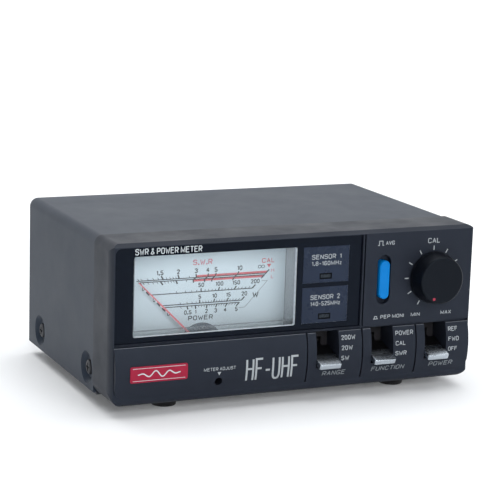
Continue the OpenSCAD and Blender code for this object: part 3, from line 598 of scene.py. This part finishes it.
def in_fixed_order(shape):
    """The same faces in a fixed order, since bmesh.ops gives them a new one at each run."""
    bmesh.ops.recalc_face_normals(shape, faces=shape.faces[:])
    shape.verts.index_update()
    rings = []
    for face in shape.faces:
        ring = [v.index for v in face.verts]
        first = ring.index(min(ring))
        rings.append(ring[first:] + ring[:first])
    made = bmesh.new()
    verts = [made.verts.new(v.co) for v in shape.verts]
    for ring in sorted(rings):
        made.faces.new([verts[i] for i in ring])
    shape.free()
    return made


def add_object(name, shape, material, smooth=None):
    """A bmesh as an object, shaded smooth at turns below smooth degrees."""
    mesh = bpy.data.meshes.new(name)
    shape.to_mesh(mesh)
    shape.free()
    mesh.materials.append(material)
    made = bpy.data.objects.new(name, mesh)
    scene.collection.objects.link(made)
    if smooth is not None:
        mesh.shade_smooth()
        mesh.set_sharp_from_angle(angle=math.radians(smooth))
    return made


def piece(name, shape, material, body, smooth=None):
    """A closed bmesh as a named piece that rides on a body."""
    bmesh.ops.recalc_face_normals(shape, faces=shape.faces[:])
    made = add_object(name, shape, material, smooth)
    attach(made, body)
    return made


def print_window():
    """The window's heading and the two sensor panels' words."""
    heading = Print()
    heading.word("SWR & POWER METER", 9.4, 36.3, 58.4, 60.8, weight=0.14)
    heading.lay("window_heading", face_of("display_window"), WHITE_PRINT, "window_acrylic")
    ranges = Print()
    for low, name, band in zip(label_places, ("SENSOR  1", "SENSOR  2"), ("1.8-160MHz", "140-525MHz")):
        left, right = low.x + 3.6, low.x + 16.4
        ranges.word(name, left, right, low.z + 9.3, low.z + 11.2, weight=0.15)
        ranges.word(band, left, right + 0.2, low.z + 6.8, low.z + 8.5, weight=0.15)
    ranges.lay("sensor_words", face_of("sensor_label_1"), PALE_PRINT, "label_print")


def print_control_panel():
    """The words and marks around the button and the calibration knob."""
    words = Print()
    words.word("AVG", 114.4, 118.3, 56.8, 58.4)
    words.word("CAL", 133.4, 138.9, 56.5, 58.6)
    low, high = 26.9, 28.4
    for text, left, right in (("PEP MONI", 113.4, 124.0), ("MIN", 127.2, 131.3), ("MAX", 140.8, 145.7)):
        words.word(text, left, right, low, high)

    # The button's two signs: a square pulse above, a low bridge on a line below.
    stroke, foot = 0.28, 0.3
    left, right, low, high = 111.2, 113.3, 56.8, 58.5
    words.path([(left - foot, low), (left + foot, low), (left + foot, high), (right - foot, high),
                (right - foot, low), (right + foot, low)], stroke)
    left, right, low, high = 110.2, 112.3, 27.0, 28.0
    words.path([(left, low), (right, low)], stroke)
    words.path([(left + 0.4, low), (left + 0.6, high), (right - 0.6, high), (right - 0.4, low)], stroke)

    mark_start, mark_end, mark_width, last_mark, mark_step = 10.9, 12.7, 0.42, 150, 30
    middle = Vector((knob_middle.x, knob_middle.z))
    for turn in range(-last_mark, last_mark + 1, mark_step):
        way = Vector((math.sin(math.radians(turn)), math.cos(math.radians(turn))))
        words.line(middle + way * mark_start, middle + way * mark_end, mark_width)
    words.lay("panel_words", flat(0), PALE_PRINT, "bezel_plastic")


def print_strip():
    """The words along the swelled strip."""
    words, names_ink = Print(), Print()
    columns = (("200W", "20W", "5W"), ("POWER", "CAL", "SWR"), ("REF", "FWD", "OFF"))
    widths = ((6.2, 4.9, 3.4), (8.0, 4.5, 5.0), (4.3, 4.8, 4.2))
    names = (("RANGE", 10.0), ("FUNCTION", 14.8), ("POWER", 10.8))
    rows, half_tall, words_aside, names_aside = (20.7, 16.7, 12.6), 0.9, 5.95, 3.0
    for x, column, column_widths, (name, name_width) in zip(lever_x, columns, widths, names):
        left, middle = x + words_aside, x + names_aside
        for word, width, z in zip(column, column_widths, rows):
            words.word(word, left, left + width, z - half_tall, z + half_tall, weight=0.15)
        names_ink.word(name, middle - name_width / 2, middle + name_width / 2, 5.8, 7.7,
                       weight=0.14, slant=0.2)
    words.word("METER ADJUST", adjust_x - 6.4, adjust_x + 6.9, 12.0, 13.3, weight=0.14)
    words.polygon((adjust_x - 0.7, 11.4), (adjust_x + 0.8, 11.4), (adjust_x + 0.05, 10.0))
    words.lay("strip_words", strip_surface, PALE_PRINT, "bezel_plastic", curved=True)
    # The lever names take the darker ink, painted shade for the levers' shadow over them.
    names_ink.lay("lever_names", strip_surface, NAME_SHADE_INK, "bezel_plastic", curved=True)

    # A painted highlight line along the strip's top edge, standing for light caught there, broken at each
    # groove and slot.
    rubbed = Print()
    start, end, groove, groove_half, slot_half, height = 1.2, 153.6, 8.95, 0.5, 5.1, strip_top - 0.22
    breaks = (-groove - groove_half, -groove + groove_half, -slot_half, slot_half)
    stops = [start, *(x + aside for x in lever_x for aside in breaks), end]
    for left, right in zip(stops[::2], stops[1::2]):
        rubbed.path([(left, height), (right, height)], 0.16)
    rubbed.lay("strip_edge", strip_surface, EDGE_HIGHLIGHT_INK, "bezel_plastic", film=0.02)
    bands = Print()
    bands.word("HF-UHF", 54.8, 77.4, 6.4, 15.6, weight=0.085)
    bands.lay("band_words", strip_surface, PALE_PRINT, "bezel_plastic", curved=True)


# --- Dial ---

SWEEP = 45.0
HAIRLINE, RULE, BOLD_RULE, ZERO_MARK, LONG_TICK = 0.2, 0.36, 0.5, 0.8, 1.35


class Scale:
    """A straight scale line at a height over the pivot, whose ticks point at the pivot."""

    def __init__(self, ink, height, angle_of, up=1):
        self.ink, self.height, self.angle_of, self.up = ink, height, angle_of, up

    def point(self, value, height):
        slope = math.tan(math.radians(self.angle_of(value)))
        return Vector((pivot_x + height * slope, pivot_z + height))

    def rule(self, first, last, width=RULE):
        self.ink.line(self.point(first, self.height), self.point(last, self.height), width)

    def ticks(self, values, length, width, aside=0.0):
        """Ticks at the values, moved aside millimetres to the left."""
        end, shift = self.height + self.up * length, Vector((aside, 0))
        for value in values:
            self.ink.line(self.point(value, self.height) - shift, self.point(value, end) - shift, width)

    def label(self, text, value, low, tall=1.7, shift=0.0):
        """A number over or under its tick."""
        tick_end = self.point(value, self.height + self.up * 1.2)
        self.ink.centred(text, tick_end.x + shift, pivot_z + low, pivot_z + low + tall,
                         weight=0.18, spread=1.06)


def power_angle(full, bend):
    """Needle angle for a power in watts, near the square root of the power."""
    return lambda watts: 2 * SWEEP * (watts / full) ** bend - SWEEP


def swr_angle(bend):
    """Needle angle for a standing wave ratio, by the reflected share of the wave."""
    return lambda ratio: 2 * SWEEP * ((ratio - 1) / (ratio + 1)) ** bend - SWEEP


def draw_swr(black, red):
    """The standing wave ratio: two lines close together, each with a red bar from 3 up."""
    endless, three, ten = 1e6, 2.93, 11.4
    majors = (three, 4, 5, ten, endless)
    high_line, low_line, high_bend, low_bend = 27.1, 26.45, 1.15, 1.26
    high_swr = Scale(black, high_line, swr_angle(high_bend))
    low_swr = Scale(black, low_line, swr_angle(low_bend), up=-1)
    for scale in (high_swr, low_swr):
        scale.rule(1, endless)
        scale.ticks((1.05, 1.1, 1.2, 1.3, 1.4, 1.6, 1.7, 1.8, 1.9, 2.5, 7), 0.9, HAIRLINE)
        scale.ticks((1.5, 2), 1.45, BOLD_RULE + 0.1)
        scale.ticks(majors, LONG_TICK, BOLD_RULE)
    label_rise, label_tall = 28.85, 1.9
    labels = (("1.5", 1.5, -0.7), ("2", 2, 0), ("3", three, 0), ("4", 4, -0.2), ("5", 5, 0), ("10", ten, 0.4))
    for text, value, shift in labels:
        high_swr.label(text, value, label_rise, tall=label_tall, shift=shift)

    # The sign for an endless ratio: two small loops.
    middle_x, middle_z = pivot_x + 25.0, pivot_z + label_rise + label_tall / 2
    apart, half_width, half_height, stroke = 0.72, 0.68, 0.58, 0.24
    for side in (-1, 1):
        black.path(oval(middle_x + side * apart, middle_z, half_width, half_height, 20), stroke, closed=True)

    bar, aside = 1.0, 0.42
    Scale(red, high_line + aside, swr_angle(high_bend)).rule(three, endless, width=bar)
    Scale(red, low_line - aside, swr_angle(low_bend)).rule(three, endless, width=bar)
    for value in majors:
        black.line(low_swr.point(value, low_line), high_swr.point(value, high_line), RULE)


def draw_watts(black):
    """The three power ranges, the largest at the top."""
    minors, minor_length = 20, 0.8
    for full, height, bend, up, majors, low in (
        (200, 21.36, 0.515, 1, (50, 100, 150, 200), 23.2),
        (20, 16.83, 0.545, 1, (5, 10, 15, 20), 18.55),
        (5, 16.0, 0.575, -1, (0.5, 1, 2, 3, 4, 5), 12.6),
    ):
        scale = Scale(black, height, power_angle(full, bend), up)
        scale.rule(0, full)
        scale.ticks([full * i / minors for i in range(1, minors)], minor_length, HAIRLINE)
        scale.ticks(majors, LONG_TICK, BOLD_RULE)
        scale.ticks((0,), LONG_TICK, ZERO_MARK, aside=0.35)
        scale.label("0", 0, low, tall=1.5, shift=-1.4 * up - 0.35)
        for value in majors:
            scale.label(f"{value:g}", value, low)


def print_dial():
    """The dial's scales and words, and painted shade along the dial's bottom and left edges."""
    black, red, pink, edge_shade = Print(), Print(), Print(), Print()
    draw_swr(black, red)
    draw_watts(black)
    black.word("POWER", pivot_x - 5.5, pivot_x + 4.9, 28.2, 30.1, weight=0.17)
    black.word("W", 63.8, 66.5, 35.7, 37.9, weight=0.2)
    # The bracket that joins the power scales to their unit.
    black.path([(67.6, 42.2), (70.1, 42.1), (60.6, 32.0), (58.1, 32.0)], 0.13)
    pink.word("S.W.R", pivot_x - 4.0, pivot_x + 4.1, 50.1, 52.3, weight=0.16)
    pink.word("H", 71.6, 72.9, 45.4, 46.9, weight=0.14)
    pink.word("L", 71.6, 72.7, 42.9, 44.4, weight=0.14)
    red.word("CAL", 67.5, 73.0, 49.3, 51.2, weight=0.16)
    red.polygon((69.7, 48.8), (71.5, 48.8), (70.6, 47.3))

    # Painted shade: a grey line along the bottom for the shadow where the ledge meets the dial, and a grey
    # band down the left for the shade of the window's edge.
    outer, left, right, low, high = 9.4, 14.4, 77.5, 25.45, 56.5
    edge_shade.path([(left, low), (right, low)], BOLD_RULE)
    edge_shade.polygon((outer, low), (left, low), (left, high), (outer, high))
    for name, ink, colour, film in (
        ("edge_shade", edge_shade, DIAL_SHADE_INK, 0.02),
        ("red", red, RED_PRINT, 0.02),
        ("pink", pink, PINK_PRINT, 0.02),
        ("black", black, BLACK_PRINT, 0.04),
    ):
        ink.lay(f"dial_{name}", face_of("dial_plate"), colour, "dial_paint", film=film)


# --- Modelled pieces ---


def obround(half_width, half_height, steps=12):
    """Points round a slot-shaped outline, counter-clockwise from its right side."""
    rise = half_height - half_width
    points = []
    for end, start in ((1, 0), (-1, math.pi)):
        for i in range(steps + 1):
            t = start + math.pi * i / steps
            points.append((half_width * math.cos(t), end * rise + half_width * math.sin(t)))
    return points


def rounded_box(half_width, half_height, radius, steps=6):
    """Points round a rectangle with rounded corners, counter-clockwise from its right side."""
    points = []
    for sx, sz, start in ((1, 1, 0), (-1, 1, 90), (-1, -1, 180), (1, -1, 270)):
        for i in range(steps + 1):
            t = math.radians(start + 90 * i / steps)
            points.append((sx * (half_width - radius) + radius * math.cos(t),
                           sz * (half_height - radius) + radius * math.sin(t)))
    return points


def bridge(shape, first, second):
    """Joins two closed rings of vertices with quads."""
    for i in range(len(first)):
        j = (i + 1) % len(first)
        shape.faces.new((first[i], first[j], second[j], second[i]))


def loft(shape, rings):
    """Joins rings of points with quads and closes both ends."""
    made = [[shape.verts.new(p) for p in ring] for ring in rings]
    for a, b in zip(made, made[1:]):
        bridge(shape, a, b)
    shape.faces.new(made[0])
    shape.faces.new(made[-1])


def build_button():
    """The blue push button, whose face is hollowed for a fingertip, on its square stem."""
    shape = bmesh.new()
    low, high = span("pep_button")
    middle = (low + high) / 2
    half_width, half_height = (high.x - low.x) / 2, (high.z - low.z) / 2
    face, hollow, head_depth, stem, overlap = low.y, 1.1, 7.5, 1.0, 0.1
    rounding = ((0.75, 0.0), (0.42, 0.06), (0.16, 0.24), (0.03, 0.55), (0.0, 1.0), (0.0, 1.5), (0.0, 2.0))

    def ring(y, inset, hollowed=True):
        points = []
        for x, z in obround(half_width - inset, half_height - inset):
            dip = hollow * (1 - (z / half_height) ** 2) if hollowed else 0.0
            points.append(at(middle.x + x, y + dip, middle.z + z))
        return points

    back = ring(face + head_depth, 0.0, hollowed=False)
    loft(shape, [back] + [ring(face + depth, inset) for depth, inset in rounding])
    outline = rounded_box(stem, stem, 0.2, steps=3)
    loft(shape, [[at(middle.x + x, y, middle.z + z) for x, z in outline]
                 for y in (face + head_depth - overlap, high.y)])
    made = piece("finger_button", shape, MATERIALS["blue_plastic"], "pep", smooth=50)
    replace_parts(made, "pep_button")


def build_badge():
    """A plain enamelled badge: a red field with one wave line between two rules."""
    left, right, low, high, radius, thick = 7.2, 30.4, 9.9, 16.2, 0.7, 0.35
    middle_x, middle_z = (left + right) / 2, (low + high) / 2
    plate, mark = Print(), Print()
    outline = rounded_box((right - left) / 2, (high - low) / 2, radius)
    plate.polygon(*[(middle_x + x, middle_z + z) for x, z in outline])
    plate.lay("badge_plate", strip_surface, BADGE, "bezel_plastic", film=thick, curved=True)
    steps, waves, swing, margin = 60, 3, 1.25, 3.0
    wave = []
    for i in range(steps + 1):
        share = i / steps
        rise = swing * math.sin(2 * math.pi * waves * share) * math.sin(math.pi * share)
        wave.append((left + margin + (right - left - 2 * margin) * share, middle_z + rise))
    mark.path(wave, 0.45)
    inset, end_gap = 0.75, 1
    for z in (low + inset, high - inset):
        mark.line((left + end_gap, z), (right - end_gap, z), 0.18)
    mark.lay("badge_wave", lambda x, z: strip_surface(x, z) - thick, WHITE_PRINT, "bezel_plastic",
             curved=True)


def build_socket(number, x, z):
    """A chassis coaxial socket: square flange, and a barrel with a cut thread and keyed rim."""
    low, high = span(f"coax_shell_{number}")
    face, rim, back = low.y + flange_thick, high.y, low.y
    half, corner_radius, edge = (high.x - low.x) / 2, 1.2, 0.25
    shape, rings = bmesh.new(), []
    for y, inset in ((back, 0.0), (face - edge, 0.0), (face - edge / 3, edge / 3), (face, edge)):
        outline = rounded_box(half - inset, half - inset, corner_radius - inset)
        rings.append([at(x + px, y, z + pz) for px, pz in outline])
    loft(shape, rings)
    crest, cut, pitch, sides = 7.94, 0.55, 1.058, 96
    bore, bore_end, chamfer, overlap, rows_per_pitch = 6.1, back + 0.3, 0.6, 0.2, 8
    key_count, key_depth, key_half_angle = 6, 0.55, math.radians(9)
    thread_start, thread_end = face + 0.9, rim - chamfer

    def ring(y, radius, threaded=False, keyed=False):
        points = []
        for i in range(sides):
            t = 2 * math.pi * i / sides
            r, depth = radius, 0.0
            if threaded:
                turn = (y / pitch + i / sides) % 1
                fade = min(1.0, (y - thread_start) / pitch)
                r -= cut * fade * (1 - abs(2 * turn - 1))
            if keyed:
                nearest = (t + math.pi / key_count) % (2 * math.pi / key_count) - math.pi / key_count
                depth = key_depth * max(0.0, 1 - abs(nearest) / key_half_angle)
            points.append(at(x + r * math.cos(t), y - depth, z + r * math.sin(t)))
        return points

    rings = [ring(face - overlap, crest), ring(thread_start, crest)]
    steps = int((thread_end - thread_start) / pitch * rows_per_pitch)
    for k in range(1, steps + 1):
        rings.append(ring(thread_start + (thread_end - thread_start) * k / steps, crest, threaded=True))
    for y, radius in ((rim - 0.12, crest - chamfer), (rim, crest - chamfer - 0.15), (rim, bore + 0.25)):
        rings.append(ring(y, radius, keyed=True))
    rings += [ring(rim - 0.25, bore), ring(bore_end, bore)]
    loft(shape, rings)
    made = piece(f"coax_socket_{number}", shape, MATERIALS["nickel"], "case", smooth=38)
    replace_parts(made, f"coax_shell_{number}")


def add_screw(shape, place, axis, radius, height):
    """A pan-head screw with a cross recess, whose head stands height over place along axis."""
    sides, slot_reach, slot_half, recess = 40, radius * 0.58, radius * 0.14, height * 0.75
    turn = Vector((0, 0, 1)).rotation_difference(Vector(axis)).to_matrix()

    def put(u, v, w):
        return shape.verts.new(at(*(Vector(place) + turn @ Vector((u, v, w)))))

    def circle(r, w):
        return [put(r * math.cos(2 * math.pi * i / sides), r * math.sin(2 * math.pi * i / sides), w)
                for i in range(sides)]

    def cross(scale, w):
        reach = slot_reach * scale
        points = []
        for quarter in range(4):
            c, d = math.cos(math.pi / 2 * quarter), math.sin(math.pi / 2 * quarter)
            for u, v in ((slot_half, slot_half), (reach, slot_half), (reach, -slot_half)):
                points.append((u * c + v * d, -u * d + v * c))
        return [put(u, v, w) for u, v in points]

    head = ((0.5, -0.4), (0.98, 0.0), (1.0, 0.12), (1.0, 0.45), (0.93, 0.78), (0.76, 0.95), (0.62, 1.0))
    rings = [circle(r * radius, w * height) for r, w in head]
    shape.faces.new(rings[0])
    for a, b in zip(rings, rings[1:]):
        bridge(shape, a, b)
    top, floor = cross(0.95, height), cross(0.62, height - recess)
    edges = []
    for loop in (rings[-1], top):
        for pair in zip(loop, loop[1:] + loop[:1]):
            edges.append(shape.edges.get(pair) or shape.edges.new(pair))
    bmesh.ops.triangle_fill(shape, edges=edges, use_beauty=True)
    bridge(shape, top, floor)
    shape.faces.new(floor)


def build_screws():
    """The socket flanges' screws and the cover's screws."""
    shape = bmesh.new()
    reach, radius, head = 9.15, 2.75, span("coax_screws")[1].y - flange_face
    for middle in sockets:
        for sx, sz in ((-1, -1), (-1, 1), (1, -1), (1, 1)):
            place = (middle.x + sx * reach, flange_face, middle.z + sz * reach)
            add_screw(shape, place, (0, 1, 0), radius, head)
    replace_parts(piece("flange_screws", shape, STEEL, "case", smooth=35), "coax_screws")

    shape = bmesh.new()
    low, high = span("cover_screws")
    radius, head = 3.0, 1.5
    z = (low.z + high.z) / 2
    for y in (low.y + radius, high.y - radius):
        add_screw(shape, (low.x + head, y, z), (-1, 0, 0), radius, head)
        add_screw(shape, (high.x - head, y, z), (1, 0, 0), radius, head)
    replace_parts(piece("cover_screw_heads", shape, BLACK_SCREW, "case", smooth=35),
                "cover_screws")


def print_rear():
    """The rear panel's words: which sensor, and which of its sockets goes where."""
    words = Print()
    weight = 0.17
    for place, name in zip(sockets, ("TX", "ANT", "TX", "ANT")):
        words.centred(name, case_width - place.x, place.z - 16.8, place.z - 14.8, weight)
    bracket_start, bracket_end = 12, 26
    for first, second, name in ((*sockets[:2], "SENSOR 1"), (*sockets[2:], "SENSOR 2")):
        middle, rise = case_width - (first.x + second.x) / 2, first.z
        words.centred(name, middle, rise + 15.4, rise + 17.8, weight)
        top, tip = rise + 16.6, rise + 14.6
        for side in (-1, 1):
            end = middle + side * bracket_end
            words.path([(middle + side * bracket_start, top), (end, top), (end, tip)], 0.3)
    jack_low, jack_high = span("dc_jack")
    middle = case_width - (jack_low.x + jack_high.x) / 2 + 1.2
    words.centred("DC 11-15V", middle, jack_high.z + 1.2, jack_high.z + 2.9, weight)
    words.lay("rear_words", flat(span("chassis_tray")[1].y), PALE_PRINT, "tray_paint", rear=True)


def frame_lamps():
    """A dark printed surround for each status lamp."""
    dark = Print()
    inset, line = 0.15, 0.45
    for node in ("led_1", "led_2"):
        low, high = span(node)
        left, right, foot, top = low.x + inset, high.x - inset, low.z + inset, high.z - inset
        dark.path([(left, foot), (right, foot), (right, top), (left, top)], line, closed=True)
    dark.lay("lamp_surrounds", flat(min(low.y, label_places[0].y)), DARK_PRINT, "label_print")


def cap_lever(x, name):
    """The plated sleeve over a lever's blade, with a rounded nose and rounded corners."""
    droop, reach, length, half_width, thick = math.radians(20), 18.85, 7.5, 4.8, 2.2
    corner_radius, edge = 0.9, 0.3
    nose = ((0.5, -1), (0.25, -0.97), (0.1, -0.88), (0.02, -0.72), (0, -0.5), (0, 0.6), (0.03, 0.8),
            (0.12, 0.94), (0.3, 1))
    pivot = centre("lever_pins")
    along = Vector((0, -math.cos(droop), -math.sin(droop)))
    over = Vector((0, -math.sin(droop), math.cos(droop)))

    def rounding(radius, inset):
        """How far an edge of this radius falls back, this far in from its side."""
        return radius - math.sqrt(max(0.0, radius**2 - max(0.0, radius - inset) ** 2))

    insets = (0.0, 0.03, 0.1, 0.2, 0.32, 0.5, 0.7, 0.9)
    offsets = [-half_width + i for i in insets] + [half_width - i for i in reversed(insets)]
    shape = bmesh.new()
    rings = []
    for offset in offsets:
        inset = half_width - abs(offset)
        half = thick / 2 - rounding(edge, inset)
        tip = reach - rounding(corner_radius, inset)
        outline = [(reach - length, -half)]
        outline += [(tip - back, half * rise) for back, rise in nose]
        outline.append((reach - length, half))
        middle = Vector((x + offset, pivot.y, pivot.z))
        rings.append([at(*(middle + along * u + over * w)) for u, w in outline])
    loft(shape, rings)
    piece(f"{name}_cap", shape, LEVER_PLATING, name, smooth=50)


def line_slots():
    """Moulded sleeves that carry each lever's slot back to its switch."""
    slot_half, low_z, high_z, sheet = 4.9, 9.3, 23.6, 0.6
    start, end = 3.9, span("range_switch")[0].y
    shape = bmesh.new()
    for x in lever_x:
        rings = []
        for y, grow in ((start, 0.0), (start, sheet), (end, sheet), (end, 0.0)):
            half, foot, top = slot_half + grow, low_z - grow, high_z + grow
            corners = ((x - half, foot), (x + half, foot), (x + half, top), (x - half, top))
            rings.append([shape.verts.new(at(side, y, z)) for side, z in corners])
        for a, b in zip(rings, rings[1:] + rings[:1]):
            bridge(shape, a, b)
    piece("slot_sleeves", shape, BEZEL, "case")


def mark_knob():
    """The red dot on the knob's face."""
    dot = Print()
    turn, reach, radius = math.radians(205), 8.1, 0.6
    x, z = knob_middle.x + reach * math.sin(turn), knob_middle.z + reach * math.cos(turn)
    dot.polygon(*oval(x, z, radius, radius, 28))
    dot.lay("knob_dot", face_of("cal_knob"), RED_DOT, "knob_plastic", body="cal")


print_window()
print_control_panel()
print_strip()
print_dial()
print_rear()
frame_lamps()
build_button()
build_badge()
mark_knob()
for number, middle in enumerate(sockets, start=1):
    build_socket(number, middle.x, middle.z)
build_screws()
line_slots()
for x, name in zip(lever_x, ("range", "function", "power")):
    cap_lever(x, name)

# --- Stage, light and camera ---


def build_stage():
    """A pale floor that curves up into a wall behind, with a low rim round the other sides.

    It glows more the farther it is from the case, so that every view has a pale ground.
    """
    half_width, front, back, bend, wall, rim, steps = 3.0, -1.6, 2.0, 0.5, 1.6, 0.6, 12
    profile = [(front, rim), (front, 0.0), (back, 0.0)]
    for i in range(1, steps + 1):
        t = math.pi / 2 * i / steps
        profile.append((back + bend * math.sin(t), bend * (1 - math.cos(t))))
    profile.append((back + bend, wall))
    shape = bmesh.new()
    sides = ((-half_width, rim), (-half_width, 0.0), (half_width, 0.0), (half_width, rim))
    rows = [[shape.verts.new((x, y, z + rise)) for x, rise in sides] for y, z in profile]
    for a, b in zip(rows, rows[1:]):
        for i in range(3):
            shape.faces.new((a[i], a[i + 1], b[i + 1], b[i]))
    made = Finish("floor_paper", (236, 238, 240), 0.9, specular=0.1, Emission_Color=(1, 1, 1, 1))
    made.mottle(120, 0.01)
    made.relief(1.2, 0.01)
    reach = made.node("ShaderNodeVectorMath", operation="LENGTH")
    made.link(made.place(), reach.inputs[0])
    glow = made.spread(reach.outputs["Value"], 0.08, 0.72, start=1.2, end=2.8)
    made.link(glow, made.shader.inputs["Emission Strength"])
    floor = add_object("floor", shape, made.material, smooth=40)


def softbox(name, place, aim, width, height, power):
    """A white rectangular light, aimed at a point."""
    light = bpy.data.lights.new(name, "AREA")
    light.shape = "RECTANGLE"
    light.size, light.size_y = width, height
    light.energy = power
    made = bpy.data.objects.new(name, light)
    made.location = place
    made.rotation_euler = (Vector(aim) - Vector(place)).to_track_quat("-Z", "Y").to_euler()
    scene.collection.objects.link(made)


def build_lights():
    """A wide soft top light, a broad front light, a weak light at the right, and one on the backdrop."""
    target = (0, 0, 0.03)
    softbox("top_light", (0.1, 0.15, 1.3), target, 1.8, 1.5, 23.0)
    softbox("front_light", (0.0, -1.5, 0.75), target, 1.3, 0.6, 14.0)
    softbox("right_light", (1.25, 0.4, 0.6), target, 0.8, 0.6, 2.5)
    softbox("backdrop_light", (0, 1.3, 1.6), (0, 2.3, 0.1), 2.8, 0.6, 13.0)
    world = bpy.data.worlds.new("studio")
    world.use_nodes = True
    sky = world.node_tree.nodes["Background"].inputs
    sky["Color"].default_value = (0.9, 0.94, 1.0, 1.0)
    sky["Strength"].default_value = 0.08
    scene.world = world


def build_camera():
    """A long lens, in front of the case and to its left, a little above it."""
    right = Vector((0.91302, -0.40671, 0.03133))
    up = Vector((0.05492, 0.19868, 0.97852))
    lens = bpy.data.cameras.new("camera")
    lens.lens = 130.6
    lens.sensor_width = 36
    camera = bpy.data.objects.new("camera", lens)
    turn = Matrix((right, up, right.cross(up))).transposed().to_4x4()
    camera.matrix_world = Matrix.Translation(at(-223.85, -616.53, 198.98)) @ turn
    scene.collection.objects.link(camera)
    scene.camera = camera


build_stage()
build_lights()
build_camera()
scene.view_settings.view_transform = "Standard"
